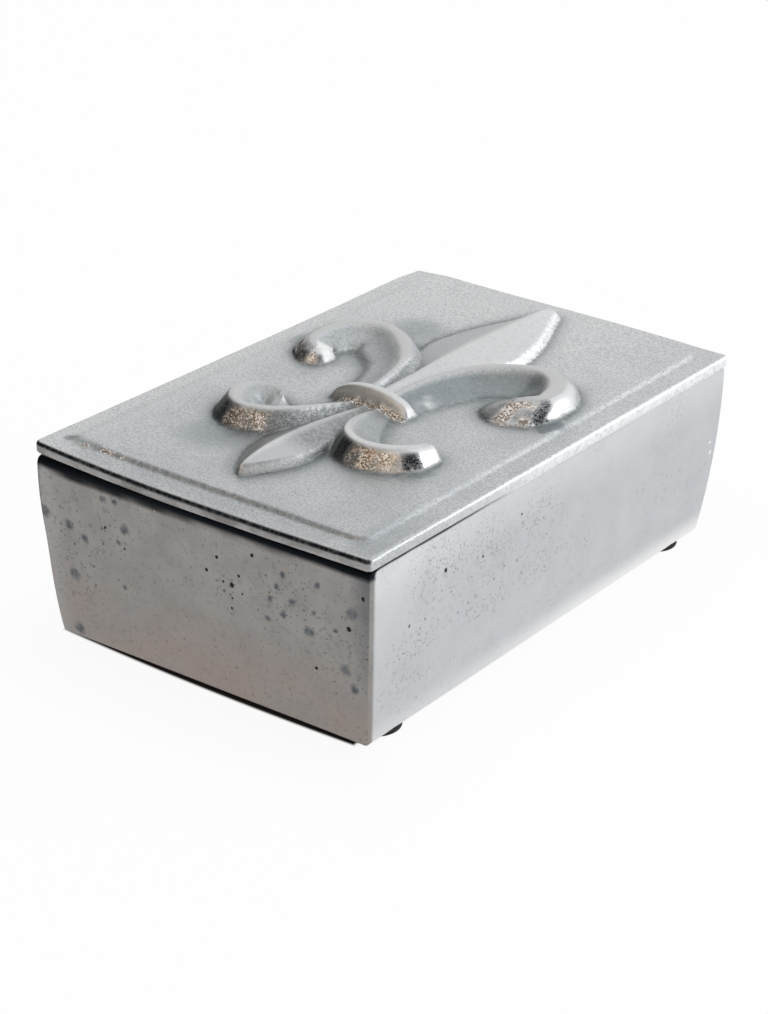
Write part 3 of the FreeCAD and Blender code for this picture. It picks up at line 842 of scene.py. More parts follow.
class StrokeEnd(Enum):
    """How a scroll's end wall takes painted reflections by the way it faces, in degrees from the front to the
    right.

    Each holds where the painted dark at the left ends, where the painted warm grains end and where the white
    starts.
    """

    UPPER_LEFT = (-38, 44, 48)
    UPPER_RIGHT = (-10, 40, 68)
    LOWER_LEFT = (-20, 42, 42)
    LOWER_RIGHT = (-15, 42, 73)

    @staticmethod
    def limits(across: Array, along: Array) -> Array:
        """The three limits at each point, from the quarter of the lily that it lies in.

        Args:
            across: Coordinates of the points, in metres.
            along: The same, along the lid.

        Returns:
            The limits in turn, each as large as the coordinates.
        """
        rear = (along > -10 * MM)[..., None]
        upper = np.where(across[..., None] < 0, StrokeEnd.UPPER_LEFT.value, StrokeEnd.UPPER_RIGHT.value)
        lower = np.where(across[..., None] < 0, StrokeEnd.LOWER_LEFT.value, StrokeEnd.LOWER_RIGHT.value)
        return np.moveaxis(np.where(rear, upper, lower), -1, 0)


@dataclass(frozen=True)
class Leaf:
    """A leaf on the axis: a ridge, a left half that runs to the ground and a right half with a steep side.

    Rows in millimetres: place along, half width at the top edge, the right edge's and the ridge's heights.
    """

    rows: tuple[tuple[float, ...], ...]
    side_run: float
    left_shade: float
    coarse_from: float
    # Painted highlight: how far the right wall takes it, how far as a matte highlight, where it ends, and how
    # much lies on the right face and the ridge.
    highlit: float
    matte_highlight: float = 0.0
    highlight_until: float = 300 * MM
    face_light: float = 0.0
    ridge_light: float = 0.0
    ridge_round: float = 0.3 * MM
    left_edge: float = 0.22

    def relief(self, across: Array, along: Array) -> dict[str, Array]:
        """Heights: a straight fall from ridge to edge, then an eased fall to the ground.

        Args:
            across: Coordinates of the points, in metres.
            along: The same, along the lid.

        Returns:
            Heights, and how far each point belongs to upper faces, side walls and coarse casting, painted
            shade and painted highlights.
        """
        samples = curve_through(self.rows, 12) * MM
        samples = samples[np.argsort(samples[:, 0])]
        half, edge, ridge = (np.interp(along, samples[:, 0], samples[:, column]) for column in (1, 2, 3))
        edge = np.where(across < 0, edge * self.left_edge, edge)
        off_axis = np.sqrt(across ** 2 + self.ridge_round ** 2) - self.ridge_round
        share = np.clip(off_axis / np.maximum(half, 0.1 * MM), 0, 1)
        side = 1 - smoothstep(0, self.side_run, off_axis - half)
        inside = (along > samples[0, 0]) & (along < samples[-1, 0])
        coarse = smoothstep(self.coarse_from - 12 * MM, self.coarse_from, along)
        left = smoothstep(0.3 * MM, -0.3 * MM, across)
        wall = (side < 0.9) * inside * (1 - left)
        tip = smoothstep(self.highlight_until, self.highlight_until - 10 * MM, along)
        light = inside * (side > 0.7) * (self.face_light * (1 - left) * smoothstep(0, 30 * MM, along)
                                         + self.ridge_light * smoothstep(0.3, 0.05, share))
        return {"height": (ridge + (edge - ridge) * share) * side * inside,
                "rim": (side > 0.7) * inside * np.maximum(0.6 - 0.4 * np.maximum(left, coarse),
                                                          0.9 * smoothstep(0.22, 0.05, share)),
                # Painted shade on the left half.
                "dish": (side > 0.7) * inside * self.left_shade * left,
                "wall": (side < 0.9) * inside * 1.0,
                "coarse": np.maximum(inside * coarse * (1 - left), wall * (1 - self.highlit * tip)),
                "painted_highlight": np.maximum(wall * self.highlit * tip * (1 - self.matte_highlight), light),
                "matte_highlight": wall * self.highlit * tip * self.matte_highlight}


@dataclass(frozen=True)
class Band:
    """The strap that ties the stems: an ellipse from side to side, flat on top and steep at the front."""

    middle: float = -11.6 * MM
    half_length: float = 14.0 * MM
    crest: float = 6.2 * MM
    flat: float = 1.2 * MM
    front_run: float = 2.5 * MM
    rear_run: float = 2.6 * MM
    bead_half: float = 1.0 * MM
    bead_rise: float = 0.45 * MM

    def relief(self, across: Array, along: Array) -> dict[str, Array]:
        """Heights: the ellipse's rise times an eased fall to the front and the rear.

        Args:
            across: Coordinates of the points, in metres.
            along: The same, along the lid.

        Returns:
            Heights, and how far each point belongs to the flat top and the front face.
        """
        rise = np.sqrt(np.clip(1 - (across / self.half_length) ** 2, 0, 1))
        place = along - self.middle
        fall = 1 - smoothstep(self.flat, self.flat + self.front_run, -place)
        fall = fall * (1 - smoothstep(self.flat, self.flat + self.rear_run, place))
        top = (np.abs(place) < self.flat * 1.9) * smoothstep(0.15, 0.4, rise)
        face = smoothstep(self.flat * 1.8, self.flat * 2.2, -place)
        # Painted shade on the front face and a matte painted highlight on the flat top.
        return {"height": self.crest * rise * fall, "rim": top, "dish": 0.3 * face, "gloss": 0.1 * face,
                "matte_highlight": 0.35 * top}

    def beads(self, across: Array, along: Array) -> Array:
        """The row of beads at the front face's foot: a half ellipse across the row, fading to its ends.

        Args:
            across: Coordinates of the points, in metres.
            along: The same, along the lid.

        Returns:
            Each point's share of the beads' rise.
        """
        off = (along - self.middle + self.flat + self.front_run) / self.bead_half
        reach = smoothstep(0.95, 0.75, np.abs(across - 2 * MM) / self.half_length)
        return np.sqrt(np.clip(1 - off ** 2, 0, 1)) * reach


UPPER_ARM = (
    (4.2, -9.0, 0.6, 1.8, 6.0, 3.6, 1.4, 0.0),
    (4.6, -3.0, 0.6, 1.8, 7.2, 4.0, 1.4, 0.0),
    (5.6, 4.0, 0.7, 2.0, 8.2, 4.4, 1.5, 0.0),
    (7.6, 11.5, 0.8, 2.2, 9.0, 4.8, 1.5, 0.0),
)

UPPER_LEFT_SCROLL = Scroll((
    *UPPER_ARM,
    (11.0, 19.0, 1.9, 3.0, 9.6, 5.1, 1.6, 0.1),
    (16.0, 24.8, 2.3, 3.2, 10.2, 5.3, 1.7, 0.2),
    (22.5, 29.3, 1.9, 3.2, 10.2, 5.4, 1.8, 0.2),
    (29.5, 31.2, 1.6, 4.0, 9.4, 5.4, 2.0, 0.5),
    (36.0, 28.2, 1.6, 4.6, 8.0, 5.3, 2.2, 0.8),
    (39.6, 22.5, 1.5, 4.6, 7.0, 5.1, 2.4, 1.0),
    (40.6, 15.5, 1.3, 4.6, 6.0, 4.8, 2.4, 1.0),
    (39.4, 10.0, 0.9, 4.9, 5.2, 4.5, 1.6, 1.0),
    (36.0, 6.8, 0.4, 5.4, 4.6, 4.1, 0.8, 1.0),
), -1, 0.86, 0.38)

UPPER_RIGHT_SCROLL = Scroll((
    *UPPER_ARM,
    (11.0, 19.0, 1.2, 2.6, 9.6, 5.1, 0.5, 0.0),
    (16.0, 24.8, 1.4, 2.9, 10.2, 5.3, 0.4, 0.1),
    (22.5, 29.3, 1.4, 3.2, 10.2, 5.5, 0.4, 0.2),
    (29.5, 31.2, 1.8, 4.0, 9.4, 5.5, 0.5, 0.5),
    (36.0, 28.4, 2.3, 4.6, 8.0, 5.5, 1.2, 0.8),
    (40.2, 22.6, 2.4, 4.3, 7.0, 5.5, 1.8, 1.0),
    (41.3, 16.6, 2.1, 4.0, 6.0, 5.5, 1.4, 1.0),
    (40.6, 13.6, 1.5, 6.0, 5.4, 5.5, 1.0, 0.7),
    (38.0, 11.3, 0.9, 10.0, 5.0, 5.4, 0.8, 0.35),
    (34.6, 8.3, 0.3, 9.0, 4.6, 5.0, 0.5, 0.3),
), -1, 0.60, 1.0, 0.93, lip_run=2.2 * MM)

LOWER_STEM = (
    (4.2, -11.0, 0.5, 1.9, 3.6, 1.4, 0.6, 0.0),
    (4.6, -17.0, 0.5, 2.0, 4.0, 2.2, 0.8, 0.0),
    (5.8, -24.0, 0.6, 2.4, 5.0, 3.6, 1.1, 0.0),
    (7.6, -31.0, 0.9, 3.0, 6.0, 4.8, 1.4, 0.0),
    (11.2, -38.0, 1.2, 3.9, 6.6, 5.7, 1.7, 0.1),
    (16.3, -42.3, 1.4, 4.6, 7.0, 6.0, 1.8, 0.2),
    (22.0, -43.6, 1.5, 4.7, 6.8, 6.0, 1.9, 0.25),
)

LOWER_LEFT_SCROLL = Scroll((
    *LOWER_STEM,
    (27.0, -41.3, 1.7, 4.3, 7.0, 6.0, 2.6, 0.3),
    (30.3, -36.5, 1.8, 3.6, 7.0, 5.8, 3.2, 0.3),
    (30.8, -31.0, 1.2, 3.0, 7.0, 5.5, 3.5, 0.3),
    (28.0, -27.2, 0.8, 2.5, 6.5, 5.2, 3.5, 0.2),
    (24.0, -26.0, 0.6, 2.1, 5.5, 4.8, 3.2, 0.1),
    (20.6, -28.0, 0.5, 1.8, 4.0, 4.2, 2.6, 0.0),
), 1, 2.0, 0.3, 2.0, 0.42)

LOWER_RIGHT_SCROLL = Scroll((
    *LOWER_STEM,
    (28.2, -41.7, 1.5, 4.4, 6.0, 5.9, 1.6, 0.5),
    (32.6, -37.6, 1.3, 4.0, 5.0, 5.6, 1.0, 0.8),
    (34.2, -32.4, 0.8, 3.4, 4.2, 4.8, 0.5, 1.0),
), 1, 0.72, 0.5, 0.88, 0.34)

TOP_LEAF = Leaf((
    (-8.0, 2.2, 2.4, 4.0), (8.0, 2.8, 2.5, 4.3), (18.0, 6.0, 2.6, 4.5), (28.0, 11.4, 2.6, 4.6),
    (38.0, 13.8, 2.6, 4.6), (46.0, 12.9, 2.6, 4.5), (54.0, 11.0, 2.6, 4.3), (62.0, 8.2, 2.5, 4.1),
    (70.0, 4.8, 2.4, 3.8), (77.0, 2.0, 2.3, 3.2), (80.0, 0.4, 2.2, 2.5), (81.5, -1.6, 2.0, 2.0)),
    3.0 * MM, 0.5, 300 * MM, 0.9, face_light=0.3)

FOOT_LEAF = Leaf((
    (-72.0, -1.2, 2.2, 2.2), (-70.5, 0.6, 2.5, 3.0), (-67.0, 2.8, 2.7, 3.7), (-62.0, 5.6, 2.8, 4.3),
    (-56.0, 7.8, 2.8, 4.6), (-48.0, 8.6, 2.7, 4.6), (-38.0, 7.6, 2.2, 4.0), (-26.0, 4.6, 1.5, 2.8),
    (-14.0, 2.6, 0.8, 1.6)), 1.5 * MM, 0.85, -46 * MM, 0.4, 1.0, -50 * MM, ridge_light=0.3)


@dataclass(frozen=True)
class Lid:
    """The lid: a plate with a raised panel and the lily on it, and a locating rim below."""

    corner: float = 1.8 * MM
    upper_edge: float = 1.0 * MM
    lower_edge: float = 0.7 * MM
    plate: float = 3.5 * MM
    locating_depth: float = 5.0 * MM
    locating_inset: float = 5.5 * MM
    locating_wall: float = 3.0 * MM
    locating_corner: float = 3.0 * MM
    locating_edge: float = 0.5 * MM
    panel_border: float = 7.5 * MM
    panel_corner: float = 4.0 * MM
    panel_step: float = 2.0 * MM
    panel_rise: float = 1.0 * MM
    fillet: float = 0.5 * MM
    edge_wear: float = 0.22 * MM
    worn_corner: float = 1.2 * MM
    droop: float = 0.9 * MM
    droop_reach: float = 8.0 * MM
    line_width: float = 0.3 * MM
    warp_left: float = 0.9 * MM
    warp_corners: tuple[float, float] = (0.2 * MM, 0.7 * MM)
    warp_rear: float = 0.9 * MM
    rear_left: tuple[float, float] = (-59 * MM, 90 * MM)
    # A small dark spot on the ground by the front left edge.
    dark_spot: tuple[float, float] = (-52.5 * MM, -82 * MM)
    glint: tuple[float, float] = (12.7 * MM, -2.6 * MM)
    glint_half: tuple[float, float] = (2.4 * MM, 4.5 * MM)
    pools: tuple[tuple[float, float], ...] = ((-23 * MM, -55 * MM), (-26 * MM, 45 * MM))
    pool_reach: tuple[float, float] = (15 * MM, 13 * MM)
    pool_core: float = 3 * MM
    # How dark the painted line is on each ring of the ends' top edge.
    line_profile: tuple[float, ...] = (0.1, 0.7, 1.0, 1.0, 1.0, 0.8)
    perimeter: Perimeter = Perimeter(190, 294, 6)

    def warp(self, plan: Array) -> Array:
        """How far the casting has warped up: by the square of the way to its left and rear edges.

        Args:
            plan: One row of two coordinates per point.

        Returns:
            The lift of each point.
        """
        left = np.clip((-plan[:, 0] - 5 * MM) / (54 * MM), 0, 1) ** 2
        right = np.clip(plan[:, 0] / (50 * MM), 0, 1) ** 2
        front = np.clip((-plan[:, 1] - 40 * MM) / (45 * MM), 0, 1) ** 2
        rear = np.clip((plan[:, 1] - 30 * MM) / (60 * MM), 0, 1) ** 2
        side = left * (self.warp_left + self.warp_corners[0] * front + self.warp_corners[1] * rear)
        lift = side + rear * (1 - right) * (1 - left) * self.warp_rear
        return lift * (1 - 0.55 * patch(plan[:, 0], plan[:, 1], self.rear_left, 15 * MM, 0))

    def sag(self, plan: Array, half: tuple[float, float]) -> Array:
        """How far the front border hangs: an eased fall to the front edge, most at its middle by a parabola.

        Args:
            plan: One row of two coordinates per point.
            half: Half sizes of the plate.

        Returns:
            The drop of each point.
        """
        bow = 1 - (plan[:, 0] / half[0]) ** 2
        return self.droop * bow * smoothstep(self.droop_reach, 0, half[1] + plan[:, 1])

    def panel(self, across: Array, along: Array, half: tuple[float, float]) -> Array:
        """The raised panel: an eased step on the distance from a rectangle with round corners.

        Args:
            across: Coordinates of the points, in metres.
            along: The same, along the lid.
            half: Half sizes of the plate.

        Returns:
            Each point's share of the panel's rise.
        """
        reach = self.panel_border + self.panel_corner
        over_x = np.abs(across) - (half[0] - reach)
        over_y = np.abs(along) - (half[1] - reach)
        outside = np.hypot(np.maximum(over_x, 0), np.maximum(over_y, 0))
        outside = outside + np.minimum(np.maximum(over_x, over_y), 0)
        ragged = CastSkin(1.1 * MM, 21).at(across, along) * 0.22 * MM
        run = self.panel_step * (0.5 + 0.9 * smoothstep(-32 * MM, -50 * MM, across)
                                 - 0.15 * smoothstep(40 * MM, 46 * MM, across))
        return smoothstep(run, -run, outside - self.panel_corner + ragged)

    def lily(self, across: Array, along: Array) -> tuple[Array, dict[str, Array]]:
        """The lily's relief: two leaves on the axis, a scroll in each quarter and the band over them.

        Args:
            across: Coordinates of the points, in metres.
            along: The same, along the lid.

        Returns:
            Heights above the panel, and the shares of rim, dish, wall and polish.
        """
        names = ("height", "rim", "dish", "wall", "gloss", "coarse", "painted_highlight", "matte_highlight")
        total = {name: np.zeros_like(across) for name in names}
        parts = [leaf.relief(across, along) for leaf in (TOP_LEAF, FOOT_LEAF)]
        parts += [scroll.relief(-across, along) for scroll in (UPPER_LEFT_SCROLL, LOWER_LEFT_SCROLL)]
        parts += [scroll.relief(across, along) for scroll in (UPPER_RIGHT_SCROLL, LOWER_RIGHT_SCROLL)]
        band = Band()
        for part in (*parts, band.relief(across, along)):
            higher = part["height"] > total["height"]
            joined = soft_union(total["height"], part["height"], self.fillet)
            total = {name: np.where(higher, part.get(name, 0.0), total[name]) for name in names}
            total["height"] = joined
        total["bead"] = band.beads(across, along)
        lumps = 0.55 + 0.45 * CastSkin(1.4 * MM, 9).at(across, along)
        return total.pop("height") + total["bead"] * lumps * band.bead_rise, total

    def end_shades(self, across: Array, along: Array, lily: Array, slope: Array, facing: Array,
                   zone: Array) -> tuple[Array, Array, Array]:
        """Paints reflections on the scrolls' end walls by the way they face: painted black, then painted warm
        grains, then painted black again.

        Args:
            across: Coordinates of a grid, in metres.
            along: The same, along the lid.
            lily: The lily's heights.
            slope: How steep it is.
            facing: Which way it falls, in degrees from the front to the right.
            zone: How far each point belongs to an end wall.

        Returns:
            The painted black sides, all the painted dark with the gaps among the grains, and the painted warm
            grains.
        """
        dark_to, warm_to, white_from = StrokeEnd.limits(across, along)
        left = smoothstep(dark_to + 9, dark_to - 7, facing)
        right = smoothstep(warm_to - 4, warm_to + 4, facing)
        right = right * smoothstep(white_from + 3, white_from - 3, facing)
        black = zone * np.maximum(left, right)
        warm = zone * smoothstep(dark_to - 6, dark_to + 9, facing)
        warm = warm * smoothstep(warm_to + 6, warm_to - 8, facing)
        margin = np.maximum(smoothstep(4.6 * MM, 5.5 * MM, lily), smoothstep(1.5 * MM, 0.5 * MM, lily))
        black = np.maximum(black, 0.6 * warm * margin)
        warm = warm * (1 - 0.5 * margin)
        shaded = black * (0.7 + 0.3 * smoothstep(0.3, 0.8, slope))
        shaded = np.maximum(shaded, 0.75 * warm * smoothstep(0.55, 0.3, slope))
        clusters = smoothstep(-0.5, 0.3, CastSkin(3.0 * MM, 17).at(across, along))
        shaded = np.maximum(shaded, 0.7 * warm * (1 - clusters))
        warm = warm * smoothstep(0.28, 0.5, slope) * np.maximum(clusters, 0.5 * (along < -10 * MM))
        return black, shaded, warm

    def lights(self, across: Array, along: Array, rim: Array, step_right: Array, fine: Array) -> Array:
        """Frosty light on the panel's right step, the lower right crest and the foot of the right arm.

        Args:
            across: Coordinates of a grid, in metres.
            along: The same, along the lid.
            rim: How far each point belongs to a scroll's rim.
            step_right: How far each point belongs to the panel's right step.
            fine: The sand's fine unevenness.

        Returns:
            The light of each point.
        """
        off = [(place - middle) / reach for place, middle, reach
               in zip((across, along), self.glint, self.glint_half)]
        glint = smoothstep(1.6, 0.6, np.hypot(*off))
        to_rear = smoothstep(-75 * MM, 20 * MM, along)
        step_light = (0.03 + 0.5 * to_rear) * step_right ** 2 * (0.6 + 0.5 * fine)
        low_right = smoothstep(8 * MM, 12 * MM, across) * smoothstep(-25 * MM, -32 * MM, along)
        return step_light + 0.25 * rim * low_right + 0.45 * glint * (0.6 + 0.8 * fine)

    def halo(self, across: Array, along: Array, raised: Array, step_front: Array) -> Array:
        """Soft shade on the ground: round the lily, by the front step, in two pools and by the right edge.

        Args:
            across: Coordinates of a grid, in metres.
            along: The same, along the lid.
            raised: How far each point belongs to the lily.
            step_front: How far each point belongs to the panel's front step.

        Returns:
            The shade of each point.
        """
        pool = np.maximum(*(patch(across, along, middle, reach, self.pool_core)
                            for middle, reach in zip(self.pools, self.pool_reach)))
        near_right = smoothstep(46 * MM, 52 * MM, across) * smoothstep(-45 * MM, -80 * MM, along)
        shade = 2.0 * spread(raised, 90) + 0.25 * spread(step_front, 20) + 0.9 * pool + 0.5 * near_right
        return np.clip(shade, 0, 1) * (1 - raised)

    def surface(self, across: Array, along: Array,
                half: tuple[float, float]) -> tuple[Array, dict[str, Array]]:
        """The upper face: plate, panel, lily and the sand's unevenness, with the masks that its finish reads.

        Args:
            across: Coordinates of a grid, in metres.
            along: The same, along the lid.
            half: Half sizes of the plate.

        Returns:
            Heights above the plate's border, and masks.
        """
        lily, masks = self.lily(across, along)
        panel = self.panel(across, along, half)
        fall_y, fall_x = np.gradient(lily, across[0, 1] - across[0, 0])
        slope = np.hypot(fall_x, fall_y)
        lumps = CastSkin(1.3 * MM, 5).at(across, along)
        swell = CastSkin(9 * MM, 6).at(across, along)
        fine = CastSkin(2.6 * MM, 7).at(across, along)
        facing = np.degrees(np.arctan2(-fall_x, fall_y)) + 5 * fine
        raised = smoothstep(0.2 * MM, 0.6 * MM, lily)
        steep = smoothstep(0.6, 1.2, slope) * masks["wall"] * raised
        plain = 1 - np.maximum(masks["rim"], masks["gloss"])
        uneven = (0.05 * swell + 0.03 * fine * plain + 0.16 * steep * lumps * (1 - masks["gloss"])) * MM
        step_band = panel * (1 - panel) * 4
        inner = self.panel_border * 1.6
        step_right = step_band * smoothstep(inner, self.panel_border, half[0] - across)
        step_front = step_band * smoothstep(inner, self.panel_border, half[1] + along)
        out = np.abs(across) + 2.5 * MM * fine
        # The lower strokes' front walls and the knobs take painted reflections by the way they face.
        low_stroke = steep * smoothstep(-20 * MM, -30 * MM, along) * smoothstep(9 * MM, 13 * MM, out)
        knob = masks["gloss"] * smoothstep(-6 * MM, -2 * MM, along) * smoothstep(17 * MM, 12 * MM, along)
        knob = knob * smoothstep(0.03, 0.12, slope)
        zone = np.maximum(low_stroke, knob)
        black, shaded, warm = self.end_shades(across, along, lily, slope, facing, zone)
        # Flecks of painted warm reflection on the panel's front step; the band's beads get the same.
        flecks = step_front * smoothstep(0.2, 0.5, CastSkin(1.7 * MM, 19).at(across, along))
        flecks = flecks * smoothstep(-22 * MM, -40 * MM, across)
        warm_reflection = np.maximum(warm, masks.pop("bead"))
        # Painted dark reflection: the end walls' black sides spread a little onto the ground, the dark among
        # the warm grains, and a small dark spot.
        painted_dark = shaded + 0.8 * spread(black, 10) * (1 - raised)
        dark_spot = patch(across, along, self.dark_spot, 2.4 * MM, 0.8 * MM)
        masks["painted_dark"] = np.clip(painted_dark * (1 - 0.85 * warm_reflection) + 0.7 * dark_spot, 0, 1)
        masks["warm_reflection"] = np.maximum(warm_reflection, flecks)
        # Painted highlights on the panel's right step, the lower right crest and the right arm's foot.
        light = self.lights(across, along, masks["rim"], step_right, fine)
        masks["painted_highlight"] = np.clip(masks["painted_highlight"] + light, 0, 1)
        # The left knob's right-facing side gets the matte painted highlight.
        masks["matte_highlight"] = np.maximum(masks["matte_highlight"], knob * (across < 0) * smoothstep(62, 70, facing))
        # Painted shade round the lily's foot, in its creases and on the panel's front step, with the grit of
        # the coarse walls.
        foot = spread((lily > 0.15 * MM).astype(float), 26)
        around = np.clip(foot * 2.2, 0, 1) * (1 - raised)
        valley = np.clip((spread(lily, 14) - lily) / (1.2 * MM), 0, 1)
        shade_and_grit = 0.5 * around + 0.42 * step_front + 0.45 * valley + 0.75 * masks.pop("coarse")
        masks["shade_and_grit"] = np.clip(shade_and_grit, 0, 1) * (1 - masks["gloss"])
        masks["gloss"] = masks["gloss"] * raised
        masks["halo"] = self.halo(across, along, raised, step_front)
        masks.update(end=np.zeros_like(across), line=np.zeros_like(across))
        return panel * self.panel_rise + lily + np.minimum(uneven, 0.06 * MM), masks

    def rings(self, slab: Slab, half: tuple[float, float], top: float) -> None:
        """Carries the edge's profile round the plate: border, edge, underside and locating rim.

        Args:
            slab: The block to add rings to.
            half: Half sizes of the plate.
            top: Level of the plate's border.
        """
        edge = slab.outline(half, self.corner)
        travel = slab.travel(edge)
        wear = 0.5 + 0.5 * CastSkin(7 * MM, 11).at(travel, travel * 0)
        ends = (np.abs(slab.normals[:, 1]) > 0.7).astype(float)
        nicks = np.clip(CastSkin(2.2 * MM, 12).at(travel, travel * 0), 0, 1) ** 2
        wear = self.edge_wear * (0.6 * wear + 0.4 * nicks * ends)
        worn = patch(edge[:, 0], edge[:, 1], (-half[0], half[1]), 9 * MM, 0)
        wear = wear + self.worn_corner * worn
        to_rear = smoothstep(-75 * MM, 10 * MM, edge[:, 1])
        plain = dict.fromkeys(LID_MARKS, 0.0)
        # Painted highlight on the lid's long edges, stronger towards the rear.
        bright = (0.08 + 0.86 * to_rear) * (1 - ends)
        droop = self.sag(edge, half)
        # Where the lower edge gets a painted shadow line: the ends and the front of the long sides.
        shadow_lined = np.maximum(ends, smoothstep(-20 * MM, -45 * MM, edge[:, 1]))
        flat = self.corner - self.upper_edge
        for share in (0.5, 1.0):
            plan = slab.outline(half, self.corner, self.corner - flat * share)
            slab.add(plan, top + self.warp(plan) - self.sag(plan, half), **plain)
        # The ends' top edges take painted shade and a painted dark line.
        for angle, dark in zip(np.linspace(0, math.pi / 2, 7)[1:], self.line_profile):
            out = flat + self.upper_edge * math.sin(angle)
            shade = {**plain, "painted_highlight": bright * math.sin(angle), "end": ends * math.sin(angle) ** 3,
                     "line": dark * ends}
            level = top - self.upper_edge * (1 - math.cos(angle)) - wear / 2 * math.sin(angle)
            plan = slab.outline(half, self.corner, self.corner - out + wear * math.sin(angle))
            slab.add(plan, level + self.warp(plan) - self.sag(plan, half), **shade)
        plan = slab.outline(half, self.corner, wear)
        level = top - self.upper_edge - self.line_width - wear / 2 - droop
        slab.add(plan, level + self.warp(plan), **{**shade, "line": 0.1 * ends})
        bottom = top - self.plate
        for angle in np.linspace(0, math.pi / 2, 6):
            out = self.corner - self.lower_edge * (1 - math.cos(angle))
            level = bottom + self.lower_edge * (1 - math.sin(angle)) - droop * math.cos(angle)
            shade = {**plain, "painted_highlight": 0.9 * bright * math.cos(angle), "end": ends,
                     "line": 0.6 * math.sin(angle) ** 2 * shadow_lined}
            plan = slab.outline(half, self.corner, self.corner - out + wear * math.cos(angle))
            slab.add(plan, level + self.warp(plan), **shade)
        self.locating_rings(slab, half, bottom, plain)

    def locating_rings(self, slab: Slab, half: tuple[float, float], bottom: float,
                       plain: dict[str, float]) -> None:
        """The underside's profile: in to the locating rim, down, across and up to the recess.

        Args:
            slab: The block to add rings to.
            half: Half sizes of the plate.
            bottom: Level of the plate's underside.
            plain: Mask values of a plain surface.
        """
        outer = (half[0] - self.locating_inset, half[1] - self.locating_inset)
        inner = (outer[0] - self.locating_wall, outer[1] - self.locating_wall)
        low = bottom - self.locating_depth
        edge = self.locating_edge
        plan = slab.outline(outer, self.locating_corner, -edge)
        slab.add(plan, bottom + self.warp(plan), **plain)
        part = 0.3 * edge
        profile = [(outer, -part, bottom - part), (outer, 0.0, bottom - edge), (outer, 0.0, low + edge),
                   (outer, part, low + part), (outer, edge, low), (inner, -edge, low),
                   (inner, -part, low + part), (inner, 0.0, low + edge), (inner, 0.0, bottom - edge),
                   (inner, part, bottom - part), (inner, edge, bottom), (inner, 2 * edge, bottom)]
        for frame_half, inset, level in profile:
            slab.add(slab.outline(frame_half, self.locating_corner, inset), level, **plain)

    def build(self) -> bpy.types.Object:
        """Makes the lid in the place of its solid.

        Returns:
            The dressed piece, riding on its body.
        """
        low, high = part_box("lid")
        half = ((high.x - low.x) / 2, (high.y - low.y) / 2)
        top = low.z + self.locating_depth + self.plate
        slab = Slab(self.perimeter)
        across, along = slab.plan(half, self.corner)
        height, masks = self.surface(across, along, half)
        grid = np.stack([across.ravel(), along.ravel()], 1)
        level = top + height.ravel() + self.warp(grid) - self.sag(grid, half)
        slab.add(grid, level, **{name: mask.ravel() for name, mask in masks.items()})
        self.rings(slab, half, top)
        piece = slab.build("lily_lid")
        piece.data.materials.append(LidFinish().material())
        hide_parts("lid")
        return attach(piece, "lid")


